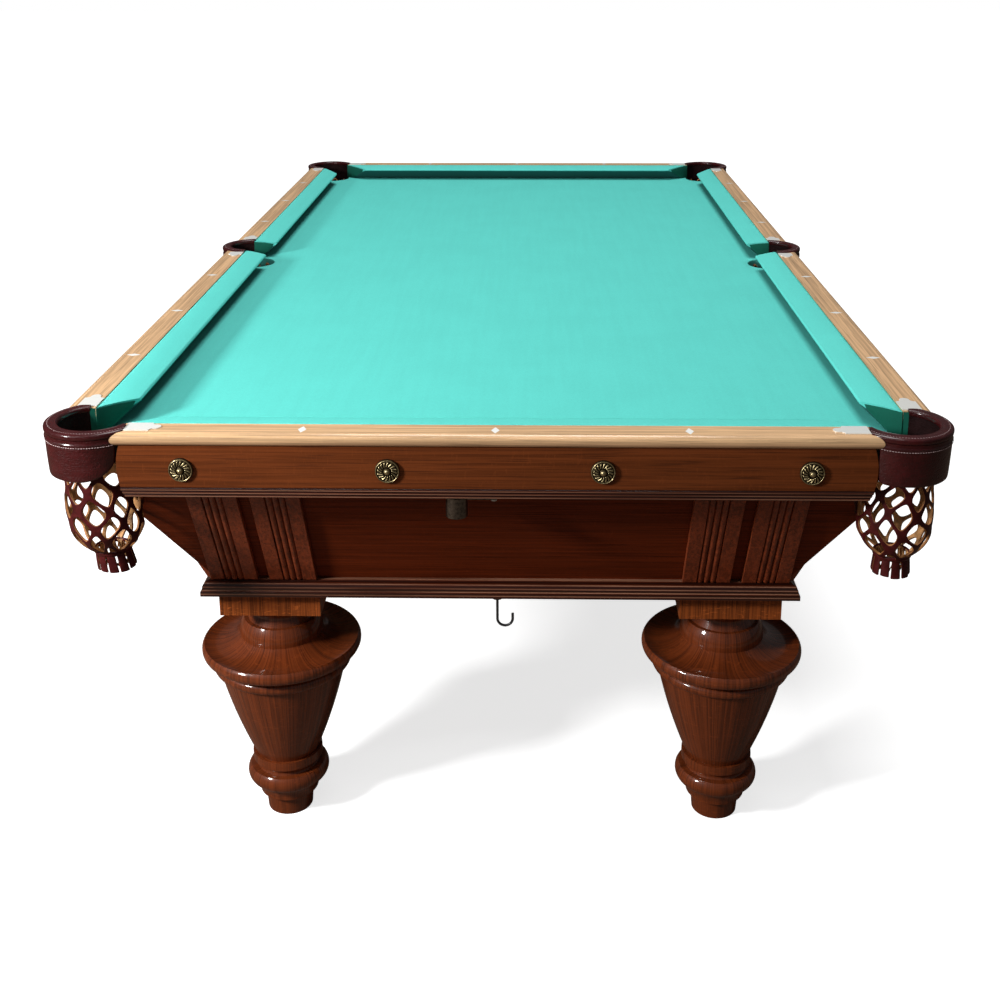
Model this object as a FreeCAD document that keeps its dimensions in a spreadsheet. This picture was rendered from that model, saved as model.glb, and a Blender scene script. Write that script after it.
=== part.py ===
import FreeCAD, Part
import math
import os

import Sketcher

# Driving dimensions, in millimetres.
# "Out" is a distance outward from the cushion nose line.
# "Drop" is a distance down from the top of the rail caps.
FIELD = {
    "field_length": 2336.8,
    "field_width": 1168.4,
    "table_height": 844.0,
    "fit_gap": 0.3,
    "cut_over": 8.0,
}
RAIL = {
    "rail_width": 100.0,
    "cushion_width": 52.0,
    "cap_thickness": 20.0,
    "nose_fall": 7.0,
    "nose_depth": 9.5,
    "nose_under": 12.5,
    "nose_set": 2.0,
    "cloth_thickness": 1.0,
    "bed_drop": 42.0,
    "rubber_top_out": 33.0,
    "rubber_low_out": 36.0,
    "strip_width": 6.0,
    "strip_height": 7.4,
    "strip_drop": 2.0,
    "face_setback": 6.0,
    "face_height": 67.0,
    "face_end_top_set": 17.0,
    "face_end_low_set": 21.0,
    "face_end_bulge": 8.0,
    "bead_height": 17.4,
    "bead_proud": 3.0,
    "bead_side_set": 7.0,
}
SLATE = {
    "slate_thickness": 30.0,
    "slate_margin": 48.0,
    "slate_joint": 0.4,
}
POCKET = {
    "corner_offset": 36.0,
    "corner_hole": 55.0,
    "corner_rim_width": 21.0,
    "ring_end_inset": 18.0,
    "corner_jaw": 84.0,
    "corner_jaw_run": 66.8,
    "corner_clear": 24.0,
    "side_offset": 47.0,
    "side_hole": 50.0,
    "side_rim_width": 20.0,
    "side_mouth": 128.0,
    "side_jaw_run": 13.0,
    "side_clear": 4.7,
    "side_face_end": 56.0,
    "rim_rise": 3.0,
    "rim_depth": 8.0,
    "rim_inner_round": 3.0,
    "rim_outer_round": 5.0,
    "skirt_inset": 1.0,
    "skirt_foot_rise": 11.0,
    "iron_inset": 6.0,
    "iron_wall": 10.0,
    "iron_lift": 2.0,
    "plate_length": 54.0,
    "plate_width": 31.0,
    "plate_thickness": 1.2,
    "side_plate_length": 40.0,
    "net_wall": 3.0,
    "net_collar_drop": 28.0,
    "net_neck_below": 4.0,
    "net_length": 149.0,
    "fringe_length": 31.0,
    "notch_more": 8.0,
}
TRIM = {
    "sight_out": 74.0,
    "sight_across": 26.0,
    "sight_along": 13.0,
    "sight_depth": 1.6,
    "bolt_radius": 5.0,
    "bolt_clearance": 0.3,
    "bolt_head_radius": 9.5,
    "bolt_head_height": 7.0,
    "counterbore_radius": 12.0,
    "counterbore_depth": 9.0,
    "bolt_in_slate": 38.0,
    "rosette_radius": 18.8,
    "rosette_height": 11.0,
    "rosette_flange": 3.0,
    "rosette_dome_radius": 15.0,
}
CABINET = {
    "panel_thickness": 22.0,
    "panel_tuck": 6.0,
    "panel_height": 253.0,
    "panel_foot_inset": 97.2,
    "base_height": 28.0,
    "base_proud_top": 7.0,
    "base_proud_foot": 21.0,
    "base_depth": 19.0,
    "base_fillet": 3.0,
    "base_fascia": 8.0,
    "board_width": 190.0,
    "beam_width": 60.0,
    "beam_height": 60.0,
    "pilaster_width": 80.0,
    "pilaster_thickness": 11.0,
    "pilaster_end_inset": 37.0,
    "pilaster_pitch": 100.0,
    "reed_width": 8.0,
    "groove_depth": 4.0,
    "pilaster_top_gap": 4.3,
}
LEG = {
    "block_width": 174.0,
    "block_height": 49.0,
    "block_set": 4.2,
    "neck_radius": 52.0,
    "neck_disc_radius": 63.0,
    "collar_radius": 74.0,
    "rim_radius": 143.5,
    "under_bead_radius": 124.0,
    "shaft_top_radius": 113.0,
    "shaft_low_radius": 57.5,
    "ankle_ring_radius": 63.0,
    "ankle_radius": 71.0,
    "foot_top_radius": 63.5,
    "foot_radius": 41.0,
    "neck_disc_height": 13.0,
    "neck_cove_height": 16.0,
    "neck_height": 12.0,
    "collar_height": 32.0,
    "shoulder_height": 12.0,
    "rim_height": 23.0,
    "under_bead_height": 28.0,
    "ankle_ring_height": 16.0,
    "ankle_cove_height": 13.0,
    "ankle_height": 28.0,
    "foot_taper_height": 27.0,
    "foot_height": 38.0,
    "leg_step": 3.0,
    "leg_bolt_radius": 6.0,
    "leg_bolt_in_leg": 60.0,
    "leg_bolt_in_base": 22.0,
}
CHALK = {
    "chalk_plate_length": 46.0,
    "chalk_plate_width": 20.0,
    "chalk_plate_thickness": 3.0,
    "chalk_pivot_x": -3.0,
    "chalk_pivot_in": 24.0,
    "chalk_arm_length": 57.0,
    "chalk_arm_width": 12.0,
    "chalk_arm_thickness": 5.0,
    "chalk_arm_gap": 0.3,
    "chalk_pin_radius": 2.5,
    "chalk_pin_clearance": 0.05,
    "chalk_head_radius": 5.0,
    "chalk_head_height": 2.5,
    "chalk_cup_radius": 17.0,
    "chalk_cup_wall": 2.5,
    "chalk_cup_height": 33.0,
    "hook_wire": 4.5,
    "hook_bend": 13.0,
    "hook_drop": 57.0,
    "hook_tip": 10.0,
    "hook_in": 20.0,
    "hook_flange_radius": 9.0,
    "hook_flange_thickness": 2.5,
}
GROUPS = (FIELD, RAIL, SLATE, POCKET, TRIM, CABINET, LEG, CHALK)

# Bolt places, as shares of the half that they lie on: of a long rail, and of an end rail.
SIDE_BOLT_SHARES = (0.17, 0.5, 0.83)
END_BOLT_SHARES = (0.278, 0.813)
# Step of the leg bolts from the leg's middle, each way, as a share of its neck's radius.
LEG_BOLT_SHARE = 0.4
# Direction square to the cushion's underside, out and down.
UNDER_NORMAL_SHARES = (0.65, 0.76)
# Outer radius of a net as shares of its hole's radius, at shares of the way from its neck to its foot.
NET_SHARES = (
    (0.96, 0.0),
    (1.0, 0.22),
    (1.036, 0.42),
    (1.07, 0.6),
    (1.036, 0.72),
    (0.95, 0.82),
    (0.76, 0.91),
)
NET_FOOT_SHARE = 0.49
FRINGE_SHARE = 0.55


class Size:
    """A length as a number and as the formula that binds it to the sheet."""

    def __init__(self, number, formula):
        self.number = float(number)
        self.formula = formula

    def __add__(self, other):
        other = as_size(other)
        return Size(self.number + other.number, f"({self.formula} + {other.formula})")

    def __sub__(self, other):
        other = as_size(other)
        return Size(self.number - other.number, f"({self.formula} - {other.formula})")

    def __mul__(self, other):
        other = as_size(other)
        return Size(self.number * other.number, f"({self.formula} * {other.formula})")

    def __truediv__(self, other):
        other = as_size(other)
        return Size(self.number / other.number, f"({self.formula} / {other.formula})")

    def __neg__(self):
        return Size(-self.number, f"(0 - {self.formula})")

    def __radd__(self, other):
        return as_size(other) + self

    def __rsub__(self, other):
        return as_size(other) - self

    def __rmul__(self, other):
        return as_size(other) * self

    def root(self):
        return Size(math.sqrt(self.number), f"sqrt({self.formula})")


def as_size(value):
    if isinstance(value, Size):
        return value
    return Size(value, repr(float(value)))


doc = FreeCAD.newDocument("billiard_table")
sheet = doc.addObject("Spreadsheet::Sheet", "Dims")
D = {}
row = 1
for group in GROUPS:
    for alias, value in group.items():
        sheet.set(f"A{row}", alias)
        sheet.set(f"B{row}", str(value))
        sheet.setAlias(f"B{row}", alias)
        D[alias] = Size(value, f"Dims.{alias}")
        row += 1
doc.recompute()

# Derived sizes
half_length = D["field_length"] / 2
half_width = D["field_width"] / 2
height = D["table_height"]
gap = D["fit_gap"]
cloth = D["cloth_thickness"]
slate_top_drop = D["bed_drop"] + cloth
slate_low_drop = slate_top_drop + D["slate_thickness"]
slate_mid_drop = slate_top_drop + D["slate_thickness"] / 2
face_out = D["rail_width"] - D["face_setback"]
face_low_drop = D["cap_thickness"] + D["face_height"]
body_in_out = D["slate_margin"] + cloth + gap
bolt_hole_radius = D["bolt_radius"] + D["bolt_clearance"]
panel_top_margin = D["slate_margin"] + gap
panel_top_drop = face_low_drop - D["panel_tuck"]
panel_foot_drop = panel_top_drop + D["panel_height"]
base_low_drop = panel_foot_drop + D["base_height"]
block_low_drop = base_low_drop + D["block_height"]
leg_axis_inset = D["panel_foot_inset"] + D["block_set"] + D["block_width"] / 2
bead_low_drop = face_low_drop + D["bead_height"]
pilaster_outer_inset = D["panel_foot_inset"] + D["pilaster_end_inset"]
face_end_reach = D["face_end_bulge"] - (D["face_end_top_set"] + D["face_end_low_set"]) / 2
ring_radius = {
    "corner": D["corner_hole"] + D["corner_rim_width"],
    "side": D["side_hole"] + D["side_rim_width"],
}
ring_reach = ring_radius["corner"] - D["ring_end_inset"]
skirt_reach = {
    "corner": D["corner_offset"] - face_end_reach - 2 * gap,
    "side": D["side_face_end"] - gap,
}
iron_low_drop = D["bed_drop"] - D["iron_lift"]
net_neck_drop = slate_low_drop + D["net_neck_below"]
net_foot_drop = net_neck_drop + D["net_length"]
fringe_drop = net_foot_drop + D["fringe_length"]

nodes = {}
cuts = []


def level(drop):
    """Height above the floor of a drop below the rail caps."""
    return height - drop


def add_node(label, thing):
    thing.Label = label
    nodes[label] = thing
    return thing


def new_body(name):
    return doc.addObject("PartDesign::Body", name)


def origin_plane(body, role):
    for feature in body.Origin.OriginFeatures:
        if feature.Role == role:
            return feature
    raise RuntimeError(f"no plane {role}")


def add_sketch(body, role, offset=0):
    """Sketch on one of the body's origin planes, moved along the plane's normal by offset."""
    sketch = body.newObject("Sketcher::SketchObject", body.Name + "_sketch")
    sketch.AttachmentSupport = (origin_plane(body, role), "")
    sketch.MapMode = "FlatFace"
    offset = as_size(offset)
    sketch.AttachmentOffset = FreeCAD.Placement(FreeCAD.Vector(0, 0, offset.number), FreeCAD.Rotation())
    sketch.setExpression("AttachmentOffset.Base.z", offset.formula)
    return sketch


def fix(sketch, kind, places, value):
    """One constraint bound to a size."""
    index = sketch.addConstraint(Sketcher.Constraint(kind, *places, value.number))
    sketch.setExpression(f"Constraints[{index}]", value.formula)


def add_outline(sketch, points, rises=None):
    """Closed outline through points.

    rises holds, for some segments, how far an arc rises from its chord, to the left of the
    direction of travel. The arc's centre lies (rise - chord squared / (4 x rise)) / 2 from the
    chord's middle, to the same side.
    """
    rises = rises or {}
    points = [(as_size(x), as_size(y)) for x, y in points]
    count = len(points)
    ends = []
    for i, (start, stop) in enumerate(zip(points, points[1:] + points[:1])):
        a = FreeCAD.Vector(start[0].number, start[1].number, 0)
        b = FreeCAD.Vector(stop[0].number, stop[1].number, 0)
        if i not in rises:
            geometry = sketch.addGeometry(Part.LineSegment(a, b))
            ends.append((geometry, 1, 2))
            continue
        rise = as_size(rises[i]).number
        chord = (b - a).Length
        left = FreeCAD.Vector(a.y - b.y, b.x - a.x, 0) / chord
        centre = (a + b) / 2 + left * (rise - chord * chord / (4 * rise)) / 2
        circle = Part.Circle(centre, FreeCAD.Vector(0, 0, 1), (a - centre).Length)
        angle_a = math.atan2(a.y - centre.y, a.x - centre.x)
        angle_b = math.atan2(b.y - centre.y, b.x - centre.x)
        if rise > 0:
            geometry = sketch.addGeometry(Part.ArcOfCircle(circle, angle_b, angle_a))
            ends.append((geometry, 2, 1))
        else:
            geometry = sketch.addGeometry(Part.ArcOfCircle(circle, angle_a, angle_b))
            ends.append((geometry, 1, 2))
    for i in range(count):
        geometry, first, last = ends[i]
        following = ends[(i + 1) % count]
        sketch.addConstraint(Sketcher.Constraint("Coincident", geometry, last, following[0], following[1]))
        fix(sketch, "DistanceX", (-1, 1, geometry, first), points[i][0])
        fix(sketch, "DistanceY", (-1, 1, geometry, first), points[i][1])
    for i, rise in rises.items():
        start = points[i]
        stop = points[(i + 1) % count]
        across = stop[0] - start[0]
        up = stop[1] - start[1]
        chord = (across * across + up * up).root()
        rise = as_size(rise)
        share = (rise - chord * chord / (4 * rise)) / 2 / chord
        if abs(up.number) > abs(across.number):
            fix(sketch, "DistanceX", (-1, 1, ends[i][0], 3), (start[0] + stop[0]) / 2 - up * share)
        else:
            fix(sketch, "DistanceY", (-1, 1, ends[i][0], 3), (start[1] + stop[1]) / 2 + across * share)


def add_circle(sketch, x, y, radius):
    x, y, radius = as_size(x), as_size(y), as_size(radius)
    centre = FreeCAD.Vector(x.number, y.number, 0)
    geometry = sketch.addGeometry(Part.Circle(centre, FreeCAD.Vector(0, 0, 1), radius.number))
    fix(sketch, "DistanceX", (-1, 1, geometry, 3), x)
    fix(sketch, "DistanceY", (-1, 1, geometry, 3), y)
    fix(sketch, "Radius", (geometry,), radius)


def add_rectangle(sketch, x0, y0, x1, y1):
    add_outline(sketch, [(x0, y0), (x1, y0), (x1, y1), (x0, y1)])


def add_pad(body, sketch, length):
    length = as_size(length)
    pad = body.newObject("PartDesign::Pad", body.Name + "_pad")
    pad.Profile = sketch
    pad.Length = length.number
    pad.setExpression("Length", length.formula)
    sketch.Visibility = False
    return pad


def add_pocket(body, sketch, depth=None, reverse=False):
    """Cut against the sketch's normal, or along it when reversed."""
    pocket = body.newObject("PartDesign::Pocket", body.Name + "_pocket")
    pocket.Profile = sketch
    pocket.Reversed = reverse
    if depth is None:
        pocket.Type = "ThroughAll"
    else:
        depth = as_size(depth)
        pocket.Type = "Length"
        pocket.Length = depth.number
        pocket.setExpression("Length", depth.formula)
    sketch.Visibility = False
    cuts.append(pocket)
    return pocket


def add_revolution(body, sketch):
    turned = body.newObject("PartDesign::Revolution", body.Name + "_turned")
    turned.Profile = sketch
    turned.ReferenceAxis = (sketch, ["V_Axis"])
    turned.Angle = 360
    sketch.Visibility = False
    return turned


def place(thing, x=0, y=0, z=0, turn=0):
    """Set a piece down at a point, turned about the vertical, with the point bound to the sheet."""
    x, y, z = as_size(x), as_size(y), as_size(z)
    turned = FreeCAD.Rotation(FreeCAD.Vector(0, 0, 1), turn)
    thing.Placement = FreeCAD.Placement(FreeCAD.Vector(x.number, y.number, z.number), turned)
    for axis, size in (("x", x), ("y", y), ("z", z)):
        thing.setExpression(f".Placement.Base.{axis}", size.formula)
    return thing


def add_block(name, low, high):
    """Box between two corners."""
    block = doc.addObject("Part::Box", name)
    for side, a, b in zip(("Length", "Width", "Height"), low, high):
        size = as_size(b) - as_size(a)
        setattr(block, side, size.number)
        block.setExpression(side, size.formula)
    return place(block, *low)


def add_rod(name, radius, length, x=0, y=0, z=0):
    """Upright cylinder standing on a point."""
    rod = doc.addObject("Part::Cylinder", name)
    radius, length = as_size(radius), as_size(length)
    rod.Radius = radius.number
    rod.Height = length.number
    rod.setExpression("Radius", radius.formula)
    rod.setExpression("Height", length.formula)
    return place(rod, x, y, z)


def cut_away(name, base, tool):
    result = doc.addObject("Part::Cut", name)
    result.Base = base
    result.Tool = tool
    cuts.append(result)
    return result


def fuse(name, shapes):
    result = doc.addObject("Part::MultiFuse", name)
    result.Shapes = shapes
    return result


def group_solids(label, things):
    """Several separate solids in one node."""
    group = doc.addObject("Part::Compound", label)
    group.Links = things
    return add_node(label, group)


# Rails are drawn as the near end rail lies: along X, with the nose line at Y = -nose.
# A turn about the vertical then sets each on its own side of the table.
RAILS = {
    "near": ("end", 0),
    "far": ("end", 180),
    "left_near": ("plus", -90),
    "left_far": ("minus", -90),
    "right_far": ("plus", 90),
    "right_near": ("minus", 90),
}


class RailPlan:
    """Where one rail starts, stops and meets its pockets, in the rail's own frame."""

    def __init__(self, kind):
        self.kind = kind
        self.nose = half_length if kind == "end" else half_width
        self.corner_line = half_width if kind == "end" else half_length
        self.corner_signs = {"end": (-1, 1), "plus": (1,), "minus": (-1,)}[kind]
        self.side_signs = {"end": (), "plus": (1,), "minus": (-1,)}[kind]
        far_end = self.corner_line + D["corner_offset"]
        self.start = {"end": -far_end, "plus": as_size(0), "minus": -far_end}[kind]
        self.length = 2 * far_end if kind == "end" else far_end

    def out(self, distance):
        return -(self.nose + distance)

    def bolt_places(self):
        if self.kind == "end":
            return [half_width * share * sign for share in END_BOLT_SHARES for sign in (-1, 1)]
        sign = self.side_signs[0]
        return [half_length * share * sign for share in SIDE_BOLT_SHARES]

    def sight_places(self):
        step = D["field_length"] / 8
        if self.kind == "end":
            return [step * number for number in (-1, 0, 1)]
        return [step * number * self.side_signs[0] for number in (1, 2, 3)]


def draw_section(body, plan, start, points, rises=None):
    """Section across a rail: points are distance out and drop."""
    sketch = add_sketch(body, "YZ_Plane", start)
    add_outline(sketch, [(plan.out(out), level(drop)) for out, drop in points], rises)
    return sketch


def cut_ring_ends(body, plan, lessening, top_drop):
    """Hollow a rail's ends to the pocket rings, or to rings smaller by lessening.

    A ring stops at straight lines: at a corner where it reaches along the rail, and inward at
    the line where the pocket's throat begins.
    """
    over = D["cut_over"]
    for sign in plan.corner_signs:
        radius = ring_radius["corner"] - lessening + gap
        reach = ring_reach + gap
        clear_y = plan.out(D["corner_offset"] + D["corner_clear"] - gap)
        centre_x = plan.corner_line + D["corner_offset"]
        centre_y = plan.out(D["corner_offset"])
        start_y = centre_y - (radius * radius - reach * reach).root()
        stop_y = centre_y - (radius * radius - over * over).root()
        across = reach + over
        fall = start_y - stop_y
        rise = radius - (radius * radius - (across * across + fall * fall) / 4).root()
        sketch = add_sketch(body, "XY_Plane", level(top_drop))
        points = [
            ((centre_x - reach) * sign, clear_y),
            ((centre_x - reach) * sign, start_y),
            ((centre_x + over) * sign, stop_y),
            ((centre_x + over) * sign, clear_y),
        ]
        add_outline(sketch, points, {1: rise * -sign})
        add_pocket(body, sketch)
    for sign in plan.side_signs:
        radius = ring_radius["side"] - lessening + gap
        clear = D["side_clear"] - gap
        half_chord = (radius * radius - clear * clear).root()
        chord_y = plan.out(D["side_offset"] + clear)
        sketch = add_sketch(body, "XY_Plane", level(top_drop))
        add_outline(sketch, [(half_chord, chord_y), (-half_chord, chord_y)], {0: radius - clear})
        add_pocket(body, sketch)


def cut_jaws(body, plan, inset, depth_out, top_drop=0, at_sides=True):
    """Slant a rail's ends to the pocket mouths. inset moves the cut away from the mouth.

    At a corner the cut runs straight on, past the cushion, to the line where the ring begins.
    """
    inner = -D["cut_over"]
    for sign in plan.corner_signs:
        jaw_x = plan.corner_line - D["corner_jaw"] - inset
        slope = D["corner_jaw_run"] / D["cushion_width"]
        past = (plan.corner_line + D["corner_offset"] + D["cut_over"]) * sign
        ring_y = plan.out(D["corner_offset"] + D["corner_clear"])
        sketch = add_sketch(body, "XY_Plane", level(top_drop))
        points = [
            ((jaw_x + slope * inner) * sign, plan.out(inner)),
            ((jaw_x + slope * depth_out) * sign, plan.out(depth_out)),
            ((jaw_x + slope * depth_out) * sign, ring_y),
            (past, ring_y),
            (past, plan.out(inner)),
        ]
        add_outline(sketch, points)
        add_pocket(body, sketch)
    for sign in plan.side_signs if at_sides else ():
        jaw_x = D["side_mouth"] / 2 + inset
        slope = D["side_jaw_run"] / D["cushion_width"]
        past = -D["cut_over"] * sign
        sketch = add_sketch(body, "XY_Plane", level(top_drop))
        points = [
            ((jaw_x - slope * inner) * sign, plan.out(inner)),
            ((jaw_x - slope * depth_out) * sign, plan.out(depth_out)),
            (past, plan.out(depth_out)),
            (past, plan.out(inner)),
        ]
        add_outline(sketch, points)
        add_pocket(body, sketch)


def cut_face_ends(body, along, signs):
    """Round a rail's face off at its corner ends. along is half the length of the rail's side.

    Seen from outside, the end bulges by an arc from the cap's foot to the foot of the reeds.
    """
    sketch = add_sketch(body, "XZ_Plane", 0)
    for sign in signs:
        top_x = (along - D["face_end_top_set"]) * sign
        low_x = (along - D["face_end_low_set"]) * sign
        past = (along + D["corner_offset"] + D["cut_over"]) * sign
        points = [
            (top_x, level(0)),
            (top_x, level(D["cap_thickness"])),
            (low_x, level(bead_low_drop)),
            (past, level(bead_low_drop)),
            (past, level(0)),
        ]
        add_outline(sketch, points, {1: D["face_end_bulge"] * sign})
    add_pocket(body, sketch, None, True)


def drop_at(out):
    """Drop of the cushion cloth's top between the nose and the wooden cap."""
    return D["nose_fall"] * (D["cushion_width"] - out) / (D["cushion_width"] - D["nose_set"])


def make_rail_cap(side, kind, turn):
    """Oak cap with a half-round outer edge, hollowed at its ends for the pocket rings."""
    plan = RailPlan(kind)
    body = new_body("cap_" + side)
    thick = D["cap_thickness"]
    edge = D["rail_width"] - thick / 2
    points = [(D["cushion_width"], 0), (edge, 0), (edge, thick), (D["cushion_width"], thick)]
    section = draw_section(body, plan, plan.start, points, {1: -thick / 2})
    add_pad(body, section, plan.length)
    above = -D["cut_over"]
    cut_ring_ends(body, plan, as_size(0), above)
    cut_jaws(body, plan, as_size(0), D["cushion_width"], above, False)
    sketch = add_sketch(body, "XY_Plane", level(above))
    for x in plan.sight_places():
        along, across = D["sight_along"] + gap, D["sight_across"] + gap
        add_outline(sketch, lozenge(x, plan.out(D["sight_out"]), along, across))
    add_pocket(body, sketch, D["sight_depth"] - above)
    place(body, turn=turn)
    add_node("rail_cap_" + side, body)


def lozenge(x, y, along, across):
    return [(x - along / 2, y), (x, y - across / 2), (x + along / 2, y), (x, y + across / 2)]


def make_rail_body(side, kind, turn):
    """Rail face and the wood beneath the cushion, with bolt holes through to the slate."""
    plan = RailPlan(kind)
    body = new_body("rail_" + side)
    groove_out = D["cushion_width"] - D["strip_width"] - gap
    groove_low = D["strip_drop"] + D["strip_height"] + gap
    points = [
        (D["rubber_top_out"] + gap, drop_at(D["rubber_top_out"] + gap) + cloth),
        (groove_out, drop_at(groove_out) + cloth),
        (groove_out, groove_low),
        (D["cushion_width"], groove_low),
        (D["cushion_width"], D["cap_thickness"]),
        (face_out, D["cap_thickness"]),
        (face_out, face_low_drop),
        (body_in_out, face_low_drop),
        (body_in_out, D["bed_drop"] - gap),
        (D["rubber_low_out"] + cloth + gap, D["bed_drop"] - gap),
    ]
    section = draw_section(body, plan, plan.start, points)
    add_pad(body, section, plan.length)
    cut_ring_ends(body, plan, D["iron_inset"], 0)
    cut_jaws(body, plan, cloth, D["cushion_width"])
    cut_face_ends(body, plan.corner_line, plan.corner_signs)
    for sign in plan.side_signs:
        sketch = add_sketch(body, "XY_Plane", level(0))
        face_end = D["side_face_end"] * sign
        past_end = -D["cut_over"] * sign
        add_rectangle(sketch, face_end, plan.out(D["rail_width"]), past_end, plan.out(D["slate_margin"]))
        add_pocket(body, sketch)
    sketch = add_sketch(body, "XZ_Plane", 0)
    for x in plan.bolt_places():
        add_circle(sketch, x, level(slate_mid_drop), bolt_hole_radius)
    add_pocket(body, sketch, None, True)
    sketch = add_sketch(body, "XZ_Plane", plan.nose + face_out)
    for x in plan.bolt_places():
        add_circle(sketch, x, level(slate_mid_drop), D["counterbore_radius"])
    add_pocket(body, sketch, D["counterbore_depth"])
    place(body, turn=turn)
    add_node("rail_" + side, body)


def cushion_lines():
    """Inner line of the cushion cloth, from the wood's edge round the nose to the underside."""
    run, fall = UNDER_NORMAL_SHARES
    return [
        (D["nose_set"] + cloth / 2, drop_at(D["nose_set"] + cloth / 2) + cloth),
        (cloth, D["nose_depth"]),
        (D["nose_set"] + cloth * run, D["nose_under"] - cloth * fall),
    ]


def underside_drop(out):
    """Drop of the inner face of the cloth under the rubber."""
    run, fall = UNDER_NORMAL_SHARES
    low = D["bed_drop"] - gap - D["nose_under"]
    slope = low / (D["rubber_low_out"] - D["nose_set"])
    return D["nose_under"] - cloth * fall + (out - D["nose_set"] - cloth * run) * slope


def make_cushion(side, kind, turn):
    """Rubber bumper glued along the wood."""
    plan = RailPlan(kind)
    body = new_body("rubber_" + side)
    points = cushion_lines() + [
        (D["rubber_low_out"], underside_drop(D["rubber_low_out"])),
        (D["rubber_top_out"], drop_at(D["rubber_top_out"]) + cloth),
    ]
    section = draw_section(body, plan, plan.start, points)
    add_pad(body, section, plan.length)
    cut_jaws(body, plan, cloth, D["cushion_width"])
    place(body, turn=turn)
    add_node("cushion_rubber_" + side, body)


def make_cushion_cloth(side, kind, turn):
    """Cloth over the rubber: a skin of one thickness, folded down over both jaws."""
    plan = RailPlan(kind)
    edge = D["cushion_width"] - gap
    low = D["bed_drop"] - gap
    outer = new_body("cloth_outer_" + side)
    points = [
        (edge, 0),
        (D["nose_set"], D["nose_fall"]),
        (0, D["nose_depth"]),
        (D["nose_set"], D["nose_under"]),
        (D["rubber_low_out"], low),
        (edge, low),
    ]
    add_pad(outer, draw_section(outer, plan, plan.start, points), plan.length)
    cut_jaws(outer, plan, as_size(0), D["cushion_width"])
    place(outer, turn=turn)
    inner = new_body("cloth_inner_" + side)
    below = low + cloth
    points = [(D["cushion_width"], cloth)] + cushion_lines() + [
        (D["rubber_low_out"] + cloth, underside_drop(D["rubber_low_out"] + cloth)),
        (D["rubber_low_out"] + cloth, below),
        (D["cushion_width"], below),
    ]
    add_pad(inner, draw_section(inner, plan, plan.start, points), plan.length)
    cut_jaws(inner, plan, cloth, D["cushion_width"] + cloth)
    place(inner, turn=turn)
    return cut_away("cloth_" + side, outer, inner)


def make_feather_strip(side, kind, turn):
    """Thin strip that locks the cloth into the groove beside the cap."""
    plan = RailPlan(kind)
    body = new_body("strip_" + side)
    inner = D["cushion_width"] - D["strip_width"]
    outer = D["cushion_width"] - gap
    low = D["strip_drop"] + D["strip_height"]
    points = [(inner, D["strip_drop"]), (outer, D["strip_drop"]), (outer, low), (inner, low)]
    add_pad(body, draw_section(body, plan, plan.start, points), plan.length)
    cut_jaws(body, plan, cloth + gap, D["cushion_width"] + cloth)
    return place(body, turn=turn)


for side, (kind, turn) in RAILS.items():
    make_rail_cap(side, kind, turn)
    make_rail_body(side, kind, turn)
    make_cushion(side, kind, turn)
group_solids("cushion_cloths", [make_cushion_cloth(side, *rest) for side, rest in RAILS.items()])
group_solids("feather_strips", [make_feather_strip(side, *rest) for side, rest in RAILS.items()])


# Slate bed
slate_half_x = half_width + D["slate_margin"]
slate_half_y = half_length + D["slate_margin"]
side_centre_x = half_width + D["side_offset"]
corner_centre_x = half_width + D["corner_offset"]
corner_centre_y = half_length + D["corner_offset"]
CORNER_SIGNS = ((-1, -1), (1, -1), (1, 1), (-1, 1))


def pocket_holes(name, lessening):
    """Upright cylinders through the bed at the six pockets."""
    low = level(slate_low_drop + D["cut_over"])
    length = D["slate_thickness"] + 2 * D["cut_over"]
    rods = []
    for sign_x, sign_y in CORNER_SIGNS:
        radius = D["corner_hole"] + D["net_wall"] - lessening
        x, y = corner_centre_x * sign_x, corner_centre_y * sign_y
        rods.append(add_rod(f"{name}_{len(rods)}", radius, length, x, y, low))
    for sign_x in (-1, 1):
        radius = D["side_hole"] + D["net_wall"] - lessening
        rods.append(add_rod(f"{name}_{len(rods)}", radius, length, side_centre_x * sign_x, 0, low))
    return rods


def side_rod(name, radius, start, length, along, turn):
    """Cylinder lying square to a rail, starting at a distance from the table's middle."""
    rod = doc.addObject("Part::Cylinder", name)
    radius, length, start, along = (as_size(value) for value in (radius, length, start, along))
    rod.Radius = radius.number
    rod.Height = length.number
    rod.setExpression("Radius", radius.formula)
    rod.setExpression("Height", length.formula)
    turned = FreeCAD.Rotation(FreeCAD.Vector(0, 0, 1), turn)
    rod.Placement.Rotation = turned.multiply(FreeCAD.Rotation(FreeCAD.Vector(1, 0, 0), 90))
    x = {0: along, 180: -along, -90: -start, 90: start}[turn]
    y = {0: -start, 180: start, -90: -along, 90: along}[turn]
    rod.setExpression(".Placement.Base.x", x.formula)
    rod.setExpression(".Placement.Base.y", y.formula)
    rod.setExpression(".Placement.Base.z", level(slate_mid_drop).formula)
    return rod


bolt_rods = []
for side, (kind, turn) in RAILS.items():
    plan = RailPlan(kind)
    start = plan.nose + D["slate_margin"] - D["bolt_in_slate"] - gap
    for number, along in enumerate(plan.bolt_places()):
        name = f"bolt_rod_{side}_{number}"
        length = D["bolt_in_slate"] + D["cut_over"]
        bolt_rods.append(side_rod(name, bolt_hole_radius, start, length, along, turn))

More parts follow.
